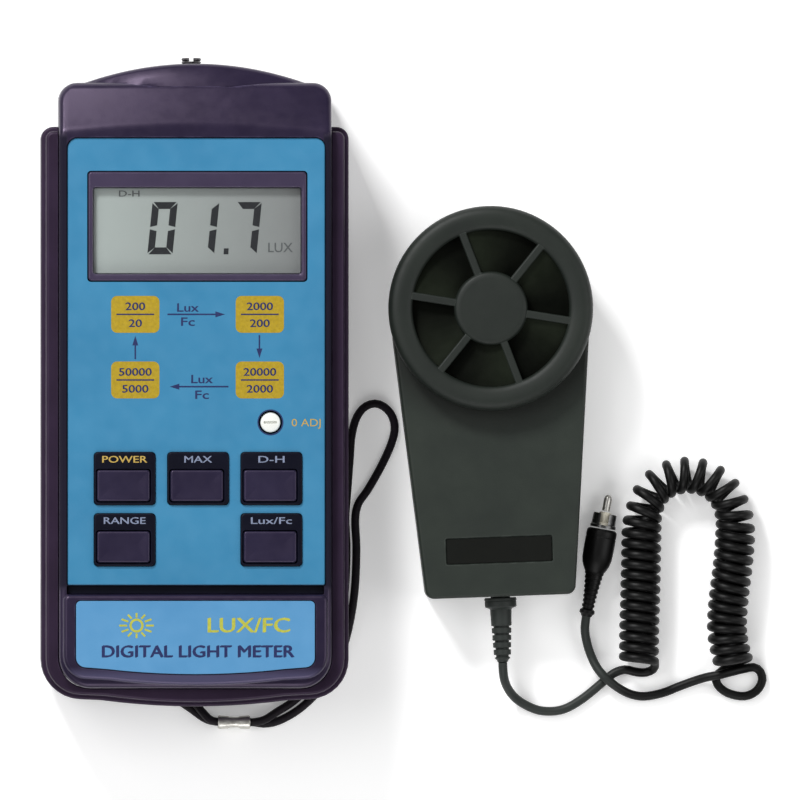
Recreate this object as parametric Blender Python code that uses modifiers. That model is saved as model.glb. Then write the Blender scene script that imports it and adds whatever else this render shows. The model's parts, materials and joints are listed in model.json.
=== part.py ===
"""Hand-held digital light meter with a separate light probe on a curly cord.

The meter and its probe lie face up on a flat surface at z = 0, with the meter's top end towards +Y.
Sizes below are millimetres, and the helpers turn them into metres. Meter pieces, the cord and the
strap are placed from the middle of the meter's casing, and probe pieces from the middle of its cap.
"""
import math

import bmesh
import bpy
from mathutils import Matrix, Vector

MM = 0.001
GAP = 0.3                      # clearance between neighbouring pieces

# Guard frame round the sides and the bottom of the meter
GUARD_HALF = 39.2
GUARD_TOP = 65.8
GUARD_CORNER_Y = -79.6
GUARD_SAG = 2.3                # how far the bottom edge bows out at the middle
GUARD_RADIUS = 10.2
GUARD_LOW, GUARD_STEP_Z, GUARD_HIGH = 5.5, 25.0, 30.5
GUARD_STEP = 1.2

# Casing
CASE_HALF = 34.7
CASE_TOP, CASE_BOTTOM = 77.0, -77.2
CASE_TOP_RADIUS, CASE_BOTTOM_RADIUS = 4.6, 8.0
REAR_Z = 3.0                   # back face, above the feet
SPLIT_Z = 20.0
FRONT_Z = 34.8
WALL = 2.0
REAR_WALL = 2.6
CEILING_Z = 31.4               # inside of the front wall
SLOPE_START, SLOPE_DROP = 65.3, 4.6
END_HALF_CHORD, END_BULGE = 28.1, 4.9

# Front panel and the things set in it
PANEL_HALF = 32.8
PANEL_TOP, PANEL_BOTTOM = 62.9, -50.9
PANEL_FLOOR_Z, PANEL_THICK = 33.4, 0.5
GROOVE_TOP, GROOVE_BOTTOM, GROOVE_DEPTH = -51.0, -53.3, 1.5
NAME_BLOCK_Z = 36.0
NAME_BLOCK_BOTTOM = -75.6
NAME_HALF, NAME_TOP, NAME_CORNER_Y, NAME_SAG = 30.4, -54.9, -71.7, 1.9
DISPLAY = (-27.3, 26.5, 28.3, 54.3)
DISPLAY_WINDOW = (-25.9, 28.4, 26.9, 50.2)
WINDOW_Z, WINDOW_THICK, CELL_THICK = 33.0, 0.8, 2.0
BEZEL_Z = 34.4
KEY_COLUMNS = (-18.0, 0.7, 19.35)
KEY_ROWS = (-23.8, -39.4)
KEY_FRAME = (15.9, 13.9)
KEY_CAP = (13.2, 7.9)
KEY_CAP_DROP = 1.8             # cap centre below its frame's centre
KEY_TOP_Z = 35.5
ZERO_AT = (19.1, -9.5)
ZERO_RADIUS = 2.6

# Inside the meter
BOARD_Z, BOARD_THICK = 23.0, 1.6
BATTERY = (26.5, 48.5, 17.5)
BATTERY_Y = -41.5
DOOR_HALF, DOOR_TOP, DOOR_BOTTOM, DOOR_TRAVEL = 15.2, -12.0, -66.4, 8.0
SCREW_AT = ((-29.6, 58.5), (29.6, 58.5), (-29.6, -58.5), (29.6, -58.5))
FOOT_AT = ((-27.0, 70.0), (27.0, 70.0), (-28.5, -49.5), (28.5, -49.5))
FOOT_RADIUS = 4.0
SOCKET_X, SOCKET_END = -0.5, 83.4
SOCKET_RADIUS, SOCKET_BORE = 2.5, 1.75
POST_AT = (-21.2, -68.3)

# Probe, in its own frame: cap centre at (0, 0), cord end towards -Y
PROBE_AT = (75.5, 19.6)
PROBE_TURN = math.radians(2.1)
HEAD_RADIUS = 24.8
PROBE_SHOULDER = (25.0, -7.0)
PROBE_FOOT = (19.0, -74.0)
PROBE_CORNER = 2.3
PROBE_SPLIT_Z, PROBE_TOP_Z = 10.0, 17.0
PROBE_WALL = 1.6
CAP_RADIUS, CAP_OPENING, HUB_RADIUS = 26.1, 20.0, 9.4
CAP_LOW, CAP_FLOOR, CAP_TOP = 17.3, 20.6, 24.5
SPOKES, SPOKE_WIDTH, SPOKE_START = 6, 2.0, math.radians(-9)
LABEL_Y, LABEL_SIZE = -61.7, (27.2, 6.7)
PROBE_SCREW_AT = ((0.0, 20.9), (0.0, -50.0))

# Cord and plug
CORD_RADIUS = 1.15
COIL_RADIUS = 5.1
PLUG_START = (100.4, -58.4)
PLUG_TURN = math.radians(-10.5)
PLUG_Z = 4.3
STRAP_RADIUS = 1.05
CRIMP_AT, CRIMP_LENGTH = (10.3, -86.1), 8.2

BOX_X = (-GUARD_HALF, PROBE_AT[0] + CAP_RADIUS)
BOX_Y = (GUARD_CORNER_Y - GUARD_SAG, SOCKET_END)
METER_AT = (-sum(BOX_X) / 2, -sum(BOX_Y) / 2)

PROBE_LEAD_ROUTE = (
    (78.81, -70.65, 9.8), (78.95, -73.2, 9.1), (79.4, -75.6, 7.3), (80.5, -77.9, 4.8), (82.3, -80.0, 2.6),
    (84.8, -81.7, 1.4), (88.3, -83.1, 1.2), (92.2, -83.3, 1.2), (95.4, -82.5, 1.2), (98.4, -80.8, 1.2),
    (101.0, -78.9, 1.2), (103.4, -76.9, 1.2), (105.6, -75.0, 1.2), (107.8, -73.4, 1.2), (110.4, -72.7, 1.2),
    (113.0, -73.3, 1.2), (115.6, -73.4, 1.2), (117.8, -72.6, 2.0),
)
COIL_ROUTE = (
    (113.7, -70.6, 5.15), (113.8, -62.0, 5.15), (114.1, -52.0, 5.15), (114.3, -42.0, 5.15),
    (114.7, -33.6, 5.15), (116.9, -27.6, 5.15), (120.8, -24.2, 5.15), (126.2, -23.0, 5.15),
    (131.6, -24.2, 5.15), (135.9, -27.9, 5.15), (138.2, -34.4, 5.15), (137.9, -44.1, 5.15),
    (136.7, -54.0, 5.15), (136.2, -62.0, 5.15), (137.0, -67.5, 5.15), (138.0, -71.3, 5.15),
)
PLUG_LEAD_ROUTE = (
    (134.5, -73.4, 1.2), (133.5, -74.9, 1.2), (134.1, -76.8, 1.2), (136.0, -78.4, 1.2), (138.6, -79.3, 1.2),
    (141.4, -79.4, 1.2), (143.9, -78.1, 1.2), (145.3, -75.7, 1.2), (144.9, -73.3, 1.2), (143.2, -72.1, 1.3),
    (140.6, -72.5, 1.7), (137.6, -73.2, 2.8), (134.4, -74.0, 3.8), (131.2, -74.6, 3.0), (128.2, -75.5, 1.8),
    (124.1, -77.0, 1.2), (120.0, -78.6, 1.2), (115.4, -79.5, 1.2), (111.8, -79.0, 1.6), (108.4, -77.3, 3.0),
    (105.4, -74.9, 3.8), (103.2, -72.4, 3.0), (101.6, -69.2, 2.1), (100.5, -65.8, 2.4), (99.95, -62.4, 3.6),
    (100.3, -58.75, PLUG_Z),
)
STRAP_ROUTE = (
    (-24.3, -67.6, 1.1), (-24.2, -69.9, 1.1), (-22.3, -71.6, 1.1), (-19.6, -71.7, 1.1), (-16.4, -72.9, 1.1),
    (-11.2, -75.9, 1.1), (-5.6, -79.4, 1.1), (-0.6, -82.7, 1.1), (2.4, -84.9, 1.3), (5.0, -85.85, 1.7),
    (10.3, -86.1, 1.7), (15.0, -86.1, 1.7), (18.2, -86.5, 1.4), (21.9, -85.7, 1.1), (26.7, -83.0,
        1.1), (31.0, -79.1, 1.1),
    (35.0, -73.8, 1.1), (38.1, -67.4, 1.1), (40.0, -60.2, 1.1), (41.2, -52.0, 1.1), (41.6, -42.0, 1.1),
    (41.3, -34.4, 1.1), (42.1, -30.3, 1.1), (44.6, -26.6, 1.1), (48.0, -20.6, 1.1), (50.6, -14.8, 1.1),
    (51.4, -10.6, 1.1), (50.2, -7.0, 1.1), (47.2, -4.8, 1.1), (44.0, -5.4, 1.1), (41.7, -8.2, 1.1),
    (40.4, -12.8, 1.1), (39.9, -19.0, 1.1), (39.3, -27.0, 1.1), (38.8, -34.0, 1.1), (39.1, -42.0, 1.1),
    (38.7, -52.0, 1.1), (37.6, -59.8, 1.1), (35.8, -66.6, 1.1), (32.8, -72.5, 1.1), (29.2, -77.4, 1.1),
    (25.2, -81.0, 1.3), (21.4, -83.4, 2.2), (18.2, -85.4, 3.4), (15.0, -86.1, 3.9), (10.3, -86.1, 3.9),
    (5.0, -85.8, 3.9), (2.4, -83.7, 3.4), (0.0, -80.9, 2.1), (-4.4, -77.5, 1.2), (-10.0, -73.4,
                                                                                  1.1), (-15.0, -69.9, 1.1),
    (-17.7, -67.1, 1.1), (-20.0, -65.3, 1.1), (-22.4, -65.1, 1.1),
)

FINISHES = {
    "casing": ((0.030, 0.020, 0.045), 0.45, 0.0),
    "guard": ((0.018, 0.012, 0.026), 0.55, 0.0),
    "panel_blue": ((0.075, 0.28, 0.47), 0.40, 0.0),
    "label_blue": ((0.13, 0.36, 0.62), 0.40, 0.0),
    "key_black": ((0.012, 0.012, 0.020), 0.50, 0.0),
    "key_cap": ((0.030, 0.024, 0.055), 0.45, 0.0),
    "window": ((0.60, 0.62, 0.60), 0.10, 0.0),
    "display": ((0.38, 0.40, 0.35), 0.30, 0.0),
    "rubber": ((0.015, 0.015, 0.016), 0.75, 0.0),
    "board": ((0.02, 0.16, 0.06), 0.50, 0.0),
    "component": ((0.02, 0.02, 0.02), 0.50, 0.0),
    "white": ((0.82, 0.81, 0.76), 0.40, 0.0),
    "metal": ((0.62, 0.61, 0.58), 0.30, 1.0),
    "steel": ((0.48, 0.48, 0.50), 0.35, 1.0),
    "battery": ((0.05, 0.05, 0.06), 0.40, 0.0),
    "probe": ((0.030, 0.036, 0.032), 0.60, 0.0),
    "probe_cap": ((0.026, 0.031, 0.027), 0.60, 0.0),
    "filter": ((0.10, 0.30, 0.14), 0.15, 0.0),
    "cord": ((0.010, 0.010, 0.011), 0.45, 0.0),
    "strap": ((0.016, 0.011, 0.018), 0.60, 0.0),
    "insulator": ((0.70, 0.66, 0.52), 0.40, 0.0),
}


# ---------------------------------------------------------------- helpers

def clear_scene():
    """Remove what the scene holds."""
    for thing in list(bpy.data.objects):
        bpy.data.objects.remove(thing, do_unlink=True)


def make_collection(name):
    """A collection linked to the scene."""
    group = bpy.data.collections.new(name)
    bpy.context.scene.collection.children.link(group)
    return group


def make_finish(name, part):
    """A Principled material of a sub-part's own, in a named finish."""
    colour, roughness, metallic = FINISHES[name]
    finish = bpy.data.materials.new(part + "_" + name)
    finish.use_nodes = True
    shader = finish.node_tree.nodes["Principled BSDF"]
    shader.inputs["Base Color"].default_value = (*colour, 1.0)
    shader.inputs["Roughness"].default_value = roughness
    shader.inputs["Metallic"].default_value = metallic
    return finish


def filleted(corners, steps=5):
    """Closed outline through corners (x, y, radius), each rounded in the given number of steps."""
    outline = []
    for index, (x, y, radius) in enumerate(corners):
        here = Vector((x, y))
        if radius == 0:
            outline.append(here)
            continue
        back = (Vector(corners[index - 1][:2]) - here).normalized()
        ahead = (Vector(corners[(index + 1) % len(corners)][:2]) - here).normalized()
        half = back.angle(ahead) / 2
        centre = here + (back + ahead).normalized() * radius / math.sin(half)
        first = here + back * radius / math.tan(half) - centre
        last = here + ahead * radius / math.tan(half) - centre
        turn = math.atan2(first.x * last.y - first.y * last.x, first.dot(last))
        outline += [centre + Matrix.Rotation(turn * i / steps, 2) @ first for i in range(steps + 1)]
    return outline


def rectangle(x0, y0, x1, y1, radius=0.0):
    """Outline of a rectangle with equal corner radii."""
    return filleted([(x0, y0, radius), (x1, y0, radius), (x1, y1, radius), (x0, y1, radius)], 3)


def centred(width, height, x=0.0, y=0.0, radius=0.0):
    """Outline of a rectangle given by its size and middle."""
    return rectangle(x - width / 2, y - height / 2, x + width / 2, y + height / 2, radius)


def circle(x, y, radius, sides=32):
    """Outline of a circle."""
    turns = [2 * math.pi * i / sides for i in range(sides)]
    return [Vector((x + radius * math.cos(a), y + radius * math.sin(a))) for a in turns]


def bowed(half, corner_y, sag, count=7):
    """Points of a bottom edge that bows out by sag, from right to left."""
    across = [half * (1 - 2 * (i + 1) / (count + 1)) for i in range(count)]
    return [(x, corner_y - sag * (1 - (x / half) ** 2), 0) for x in across]


def place(thing, finish, at, parent):
    """Put an object in its collection, at its place, with its material."""
    (bpy.data.collections["light_meter"] if finish else bpy.data.collections["cutters"]).objects.link(thing)
    x, y, z = at
    thing.parent = parent
    start = (0, 0) if parent else METER_AT
    thing.location = ((start[0] + x) * MM, (start[1] + y) * MM, z * MM)
    if finish:
        thing.data.materials.append(make_finish(finish, thing.name))
    else:
        thing.hide_render = True
        thing.display_type = "WIRE"
    return thing


def to_mesh(curve_object, name):
    """Closed mesh from a curve object, which is removed; flat faces are merged."""
    curve_data = curve_object.data
    bpy.context.scene.collection.objects.link(curve_object)
    graph = bpy.context.evaluated_depsgraph_get()
    mesh = bpy.data.meshes.new_from_object(curve_object.evaluated_get(graph), depsgraph=graph)
    bpy.data.objects.remove(curve_object)
    bpy.data.curves.remove(curve_data)
    shell = bmesh.new()
    shell.from_mesh(mesh)
    bmesh.ops.remove_doubles(shell, verts=shell.verts, dist=0.000001)
    bmesh.ops.dissolve_limit(shell, angle_limit=0.001, verts=shell.verts, edges=shell.edges)
    bmesh.ops.recalc_face_normals(shell, faces=shell.faces)
    shell.to_mesh(mesh)
    shell.free()
    mesh.name = name
    return mesh


def plate(name, outlines, low, high, finish=None, at=(0, 0, 0), parent=None):
    """Flat piece between two heights: the first outline is its edge, and the others are holes."""
    curve = bpy.data.curves.new(name, "CURVE")
    curve.dimensions = "2D"
    curve.fill_mode = "BOTH"
    curve.extrude = (high - low) / 2 * MM
    for outline in outlines:
        spline = curve.splines.new("POLY")
        spline.points.add(len(outline) - 1)
        spline.use_cyclic_u = True
        for point, (x, y) in zip(spline.points, outline):
            point.co = (x * MM, y * MM, 0, 1)
    mesh = to_mesh(bpy.data.objects.new(name, curve), name)
    mesh.transform(Matrix.Translation((0, 0, (low + high) / 2 * MM)))
    return place(bpy.data.objects.new(name, mesh), finish, at, parent)


def round_rim(piece, level, width, segments=2):
    """Round the sharp edges that lie at one height."""
    shell = bmesh.new()
    shell.from_mesh(piece.data)
    flat = [e for e in shell.edges if all(abs(v.co.z / MM - level) < 0.001 for v in e.verts)]
    sharp = [e for e in flat if e.calc_face_angle(0) > 0.5]
    bmesh.ops.bevel(shell, geom=sharp, offset=width * MM, segments=segments, profile=0.5,
                    affect="EDGES", clamp_overlap=True)
    shell.to_mesh(piece.data)
    shell.free()
    return piece


def turned(name, profile, finish=None, at=(0, 0, 0), turn=(0, 0, 0), parent=None, sides=32):
    """Turned piece: profile points (radius, height) run down its outer side, from axis to axis."""
    mesh = bpy.data.meshes.new(name)
    line = bmesh.new()
    points = [line.verts.new((radius * MM, 0, height * MM)) for radius, height in profile]
    closed = profile[0][0] > 0
    for start, end in zip(points, points[1:] + points[:1] if closed else points[1:]):
        line.edges.new((start, end))
    line.to_mesh(mesh)
    line.free()
    piece = place(bpy.data.objects.new(name, mesh), finish, at, parent)
    piece.rotation_euler = turn
    screw = piece.modifiers.new("turn", "SCREW")
    screw.steps = sides
    screw.render_steps = sides
    screw.use_merge_vertices = True
    screw.merge_threshold = 0.00001
    return piece


def smooth_route(points, spacing):
    """Evenly spread points on a smooth curve through a route's own points."""
    knots = [Vector(p) for p in points]
    knots = [2 * knots[0] - knots[1]] + knots + [2 * knots[-1] - knots[-2]]
    fine = []
    for before, start, end, after in zip(knots, knots[1:], knots[2:], knots[3:]):
        for step in range(12):
            t = step / 12
            bend = (2 * before - 5 * start + 4 * end - after) * t * t
            twist = (3 * start - before - 3 * end + after) * t ** 3
            fine.append((2 * start + (end - before) * t + bend + twist) / 2)
    fine.append(knots[-2])
    lengths = [0.0]
    for start, end in zip(fine, fine[1:]):
        lengths.append(lengths[-1] + (end - start).length)
    count = max(2, round(lengths[-1] / spacing))
    even = []
    index = 0
    for step in range(count + 1):
        goal = lengths[-1] * step / count
        while index < len(fine) - 2 and lengths[index + 1] < goal:
            index += 1
        share = (goal - lengths[index]) / (lengths[index + 1] - lengths[index])
        even.append(fine[index].lerp(fine[index + 1], share))
    return even


def tube(name, route, radius, finish, spacing, sides=2):
    """Tube with filled ends along a route."""
    curve = bpy.data.curves.new(name, "CURVE")
    curve.dimensions = "3D"
    curve.bevel_depth = radius * MM
    curve.bevel_resolution = sides
    curve.use_fill_caps = True
    points = smooth_route(route, spacing)
    spline = curve.splines.new("POLY")
    spline.points.add(len(points) - 1)
    for point, where in zip(spline.points, points):
        point.co = (*(where * MM), 1)
    return place(bpy.data.objects.new(name, curve), finish, (0, 0, 0), None)


def combine(piece, tools, operation):
    """Add one Boolean for each tool."""
    for tool in tools:
        step = piece.modifiers.new(tool.name, "BOOLEAN")
        step.operation = operation
        step.object = tool
    return piece


def cut(piece, *tools):
    return combine(piece, tools, "DIFFERENCE")


def join(piece, *tools):
    return combine(piece, tools, "UNION")


# ---------------------------------------------------------------- casing

def case_outline(inset=0.0, top=CASE_TOP, bottom=CASE_BOTTOM):
    """Outline of the casing, or of the space inside its walls."""
    half = CASE_HALF - inset
    low, high = bottom + inset, top - inset
    top_radius = CASE_TOP_RADIUS - inset * 0.8
    bottom_radius = CASE_BOTTOM_RADIUS - inset
    return filleted([(half, high, top_radius), (-half, high, top_radius),
                     (-half, low, bottom_radius), (half, low, bottom_radius)])


def end_bulge(name, low, high):
    """Shallow domed end wall at the top of the meter."""
    rise = [(END_HALF_CHORD * (1 - i / 8), 0) for i in range(17)]
    arc = [Vector((x, CASE_TOP + END_BULGE * (1 - (x / END_HALF_CHORD) ** 2))) for x, _ in rise]
    base = [Vector((-END_HALF_CHORD, CASE_TOP - 1.2)), Vector((END_HALF_CHORD, CASE_TOP - 1.2))]
    return plate(name, [arc + base], low, high)


def socket_hole(name):
    """Cutter for the hole that the probe socket stands in."""
    profile = [(0, 12), (SOCKET_RADIUS + GAP, 12), (SOCKET_RADIUS + GAP, -12), (0, -12)]
    return turned(name, profile, at=(SOCKET_X, CASE_TOP + 2, SPLIT_Z), turn=(math.pi / 2, 0, 0), sides=24)


def key_places():
    """Name, column and row of each push key."""
    names = ("power", "max", "hold"), ("range", None, "unit")
    for row, row_names in zip(KEY_ROWS, names):
        for column, name in zip(KEY_COLUMNS, row_names):
            if name:
                yield name, column, row


def make_front_case():
    low = SPLIT_Z + GAP / 2
    case = plate("front_case", [case_outline()], low, FRONT_Z, "casing")
    round_rim(case, FRONT_Z, 1.4)
    block_outline = filleted([(CASE_HALF - 1.0, GROOVE_BOTTOM, 1.2), (1.0 - CASE_HALF, GROOVE_BOTTOM, 1.2),
                              (1.0 - CASE_HALF, NAME_BLOCK_BOTTOM, 6.5), (CASE_HALF - 1.0,
                                                                          NAME_BLOCK_BOTTOM, 6.5)])
    block = round_rim(plate("name_block", [block_outline], FRONT_Z - 2, NAME_BLOCK_Z), NAME_BLOCK_Z, 0.8)
    join(case, block, end_bulge("front_bulge", low, 27.0))

    slope_length = CASE_TOP - SLOPE_START + 6
    slope = plate("end_slope", [centred(2 * CASE_HALF + 8, slope_length, 0, slope_length / 2)], 0, 12,
                  at=(0, SLOPE_START, FRONT_Z))
    slope.rotation_euler.x = -math.atan2(SLOPE_DROP, CASE_TOP - SLOPE_START)
    hollow = plate("front_hollow", [case_outline(WALL, top=SLOPE_START - 0.5)], low - 2, CEILING_Z)
    top_hollow = plate("front_top_hollow", [case_outline(WALL, bottom=40)], low - 2, 27.0)
    groove = plate("name_groove", [centred(2 * PANEL_HALF, GROOVE_TOP - GROOVE_BOTTOM, 0,
                                           (GROOVE_TOP
                                            + GROOVE_BOTTOM) / 2)], FRONT_Z - GROOVE_DEPTH, FRONT_Z + 4)
    panel_bed = plate("panel_bed", [panel_outline(GAP)], PANEL_FLOOR_Z, FRONT_Z + 4)
    name_bed = plate("name_bed", [name_outline(GAP)], NAME_BLOCK_Z - 0.9, NAME_BLOCK_Z + 4)
    x0, y0, x1, y1 = DISPLAY
    display_hole = plate("display_hole", [rectangle(x0 - GAP, y0 - GAP, x1 + GAP, y1 + GAP, 1.0)],
                         CEILING_Z - 3, FRONT_Z + 4)
    zero_hole = plate("zero_hole", [circle(*ZERO_AT, ZERO_RADIUS + 0.4)], CEILING_Z - 3, FRONT_Z + 4)
    cut(case, slope, hollow, top_hollow, groove, panel_bed, name_bed, display_hole, zero_hole)
    for name, x, y in key_places():
        size = [side + 2 * GAP for side in KEY_FRAME]
        cut(case, plate(name + "_key_hole", [centred(*size, x, y, 1.0)], CEILING_Z - 3, FRONT_Z + 4))
    for index, (x, y) in enumerate(SCREW_AT, 1):
        join(case, plate(f"front_boss_{index}", [circle(x, y, 3.4, 12)], low + GAP, CEILING_Z + 0.5))
        cut(case, plate(f"front_thread_{index}", [circle(x, y, 1.7, 10)], low - 1, 29.5))
    cut(case, socket_hole("front_socket_hole"))


def make_rear_case():
    high = SPLIT_Z - GAP / 2
    case = plate("rear_case", [case_outline()], REAR_Z, high, "casing")
    round_rim(case, REAR_Z, 1.6)
    join(case, end_bulge("rear_bulge", 7.0, high))
    cut(case, plate("rear_hollow", [case_outline(WALL)], REAR_Z + REAR_WALL, high + 2))
    rail = rectangle(-DOOR_HALF - GAP, DOOR_BOTTOM - DOOR_TRAVEL - GAP, DOOR_HALF + GAP, DOOR_TOP + GAP,
                     1.3)
    bay = centred(BATTERY[0] + 1.6, BATTERY[1] + 1.6, 0, BATTERY_Y, 1.0)
    cut(case, plate("door_recess", [rail], REAR_Z - 2, REAR_Z + 1.6),
        plate("bay_hole", [bay], REAR_Z - 2, REAR_Z + 4))
    for index, (x, y) in enumerate(SCREW_AT, 1):
        join(case, plate(f"rear_boss_{index}", [circle(x, y, 3.9, 12)], REAR_Z + 1, high - GAP))
        cut(case, plate(f"rear_shank_{index}", [circle(x, y, 1.7, 10)], REAR_Z - 1, high + 1))
        cut(case, plate(f"screw_pocket_{index}", [circle(x, y, 3.1, 14)], REAR_Z - 1, REAR_Z + 2.4))
    for index, (x, y) in enumerate(FOOT_AT, 1):
        cut(case, plate(f"foot_pocket_{index}", [circle(x, y, FOOT_RADIUS + GAP + 0.1, 16)], REAR_Z - 2,
                        REAR_Z + 0.9))
    cut(case, plate("post_hole", [circle(*POST_AT, 1.6, 16)], REAR_Z - 2, REAR_Z + 1.4))
    cut(case, socket_hole("rear_socket_hole"))


def guard_outline(inset, inner):
    """U-shaped outline of the guard frame, open at the top."""
    outer = GUARD_HALF - inset
    corner_y = GUARD_CORNER_Y + inset
    top = GUARD_TOP - inset
    return filleted([(-inner, top, 0), (-outer, top, 3.1 - inset), (-outer, corner_y, GUARD_RADIUS - inset)]
                    + [(x, y, 0) for x, y, _ in reversed(bowed(outer - 9.0, corner_y, GUARD_SAG))]
                    + [(outer, corner_y, GUARD_RADIUS - inset), (outer, top, 3.1 - inset), (inner, top, 0),
                       (inner, CASE_BOTTOM - (inner - CASE_HALF), CASE_BOTTOM_RADIUS + GAP),
                       (-inner, CASE_BOTTOM - (inner - CASE_HALF), CASE_BOTTOM_RADIUS + GAP)], 6)


def make_guard_frame():
    guard = plate("guard_frame", [guard_outline(0.0, CASE_HALF + GAP)], GUARD_LOW, GUARD_STEP_Z, "guard")
    round_rim(guard, GUARD_STEP_Z, 0.6)
    round_rim(guard, GUARD_LOW, 0.8)
    upper = plate("guard_upper", [guard_outline(GUARD_STEP, CASE_HALF + GAP + 0.2)], GUARD_STEP_Z - 1.5,
                  GUARD_HIGH)
    join(guard, round_rim(upper, GUARD_HIGH, 0.9))


# ---------------------------------------------------------------- front of the meter

def panel_outline(grow=0.0):
    """Outline of the blue panel, or of the bed that it lies in."""
    half = PANEL_HALF + grow
    return filleted([(half, PANEL_TOP + grow, 2.5), (-half, PANEL_TOP + grow, 2.5),
                     (-half, PANEL_BOTTOM, 0), (half, PANEL_BOTTOM, 0)])


def name_outline(grow=0.0):
    """Outline of the lower panel, whose bottom edge bows out."""
    half = NAME_HALF + grow
    corner_y = NAME_CORNER_Y - grow
    return filleted([(half, NAME_TOP + grow, 1.2), (-half, NAME_TOP + grow, 1.2), (-half, corner_y, 2.5)]
                    + [(x, y, 0) for x, y, _ in reversed(bowed(half - 2.6, corner_y, NAME_SAG))]
                    + [(half, corner_y, 2.5)])


def make_panels():
    x0, y0, x1, y1 = DISPLAY
    holes = [rectangle(x0 - GAP, y0 - GAP, x1 + GAP, y1 + GAP, 1.0), circle(*ZERO_AT, ZERO_RADIUS + 0.4)]
    for _, x, y in key_places():
        holes.append(centred(KEY_FRAME[0] + 0.5, KEY_FRAME[1] + 0.5, x, y, 0.9))
    low = PANEL_FLOOR_Z + GAP
    plate("face_panel", [panel_outline()] + holes, low, low + PANEL_THICK, "panel_blue")
    low = NAME_BLOCK_Z - 0.9 + GAP
    plate("name_panel", [name_outline()], low, low + PANEL_THICK - 0.1, "label_blue")


def make_display():
    bezel = plate("display_bezel", [rectangle(*DISPLAY, 0.9)], CEILING_Z - 0.4, BEZEL_Z, "casing")
    round_rim(bezel, BEZEL_Z, 0.5)
    x0, y0, x1, y1 = DISPLAY_WINDOW
    opening = plate("display_opening", [rectangle(x0, y0, x1, y1, 0.6)], CEILING_Z - 3, FRONT_Z + 3)
    cut(bezel, opening)
    cell = rectangle(x0 + GAP, y0 + GAP, x1 - GAP, y1 - GAP, 0.4)
    plate("display_window", [cell], WINDOW_Z - WINDOW_THICK, WINDOW_Z, "window")
    high = WINDOW_Z - WINDOW_THICK - GAP
    plate("display_glass", [cell], high - CELL_THICK, high, "display")
    strip = rectangle(x0 + 1.0, y0 + 0.6, x1 - 1.0, y0 + 3.2)
    plate("display_connector", [strip], BOARD_Z + BOARD_THICK + GAP, high - CELL_THICK - GAP, "rubber")


def make_keys():
    x_low, x_high = KEY_COLUMNS[0], KEY_COLUMNS[2]
    back = rectangle(x_low - 9.4, KEY_ROWS[1] - 8.4, x_high + 9.4, KEY_ROWS[0] + 8.4, 1.0)
    frame = plate("key_bezel", [back], CEILING_Z - 1.3, CEILING_Z - GAP, "key_black")
    for name, x, y in key_places():
        rim = plate(name + "_frame", [centred(*KEY_FRAME, x, y, 0.7)], CEILING_Z - 1.0, 34.9)
        join(frame, round_rim(rim, 34.9, 0.3, 1))
    for name, x, y in key_places():
        cap_y = y - KEY_CAP_DROP
        cut(frame, plate(name + "_opening", [centred(KEY_CAP[0] + 0.6, KEY_CAP[1] + 0.6, x, cap_y, 0.7)],
                         CEILING_Z - 4, FRONT_Z + 4))
        cap = plate(name + "_key", [centred(*KEY_CAP, 0, 0, 0.6)], -6.0, 0.0, "key_cap",
                    at=(x, cap_y, KEY_TOP_Z))
        round_rim(cap, 0.0, 0.5)
        flange = plate(name + "_flange", [centred(KEY_CAP[0] + 1.8, KEY_CAP[1] + 1.8)], -6.8, -5.8,
                       at=(x, cap_y, KEY_TOP_Z))
        join(cap, flange)
        switch = plate(name + "_switch", [centred(6, 6, x, cap_y)], BOARD_Z + BOARD_THICK + GAP, 26.8,
                       "component")
        join(switch, plate(name + "_plunger", [circle(x, cap_y, 1.7, 10)], 26.4, 27.5))


def make_zero_adjuster():
    low = 30.6
    rotor = turned("zero_rotor", [(0, 3.3), (2.2, 3.3), (ZERO_RADIUS, 2.9), (ZERO_RADIUS, 0), (0, 0)],
                   "white",
                   at=(*ZERO_AT, low), sides=28)
    cut(rotor, plate("rotor_slot", [centred(3.6, 0.7)], 2.5, 4.0, at=(*ZERO_AT, low)))
    plate("zero_trimmer", [centred(8.0, 8.0, *ZERO_AT, 0.5)], BOARD_Z + BOARD_THICK + GAP, low - GAP,
          "component")


# ---------------------------------------------------------------- inside and back of the meter

def make_board():
    outline = filleted([(31.2, 66.0, 2.0), (-31.2, 66.0, 2.0), (-31.2, -72.0, 6.0), (31.2, -72.0, 6.0)], 3)
    board = plate("circuit_board", [outline], BOARD_Z, BOARD_Z + BOARD_THICK, "board")
    for index, (x, y) in enumerate(SCREW_AT, 1):
        cut(board, plate(f"board_notch_{index}", [centred(9.0, 9.0, x + math.copysign(0.5, x), y)], 20, 28))


def make_socket():
    reach = SOCKET_END - 69.0
    at = (SOCKET_X, SOCKET_END, SPLIT_Z)
    toward_end = (-math.pi / 2, 0, 0)
    turned("probe_socket", [(SOCKET_BORE, 0), (SOCKET_RADIUS - 0.3, 0), (SOCKET_RADIUS, -0.3),
                            (SOCKET_RADIUS, -reach), (SOCKET_BORE, -reach)],
           "metal", at=at, turn=toward_end, sides=24)
    turned("socket_contact", [(1.15, -5.0), (SOCKET_BORE - GAP, -5.0), (SOCKET_BORE - GAP, 0.5 - reach),
                              (1.15, 0.5 - reach)], "insulator", at=at, turn=toward_end, sides=16)
    bore = (SOCKET_RADIUS + GAP) / math.cos(math.pi / 6)
    nut = [(bore, 0), (4.6, 0), (4.6, -2.4), (bore, -2.4)]
    turned("socket_nut", nut, "steel", at=(SOCKET_X, CASE_TOP - WALL - GAP, SPLIT_Z), turn=toward_end,
           sides=6)


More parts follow.
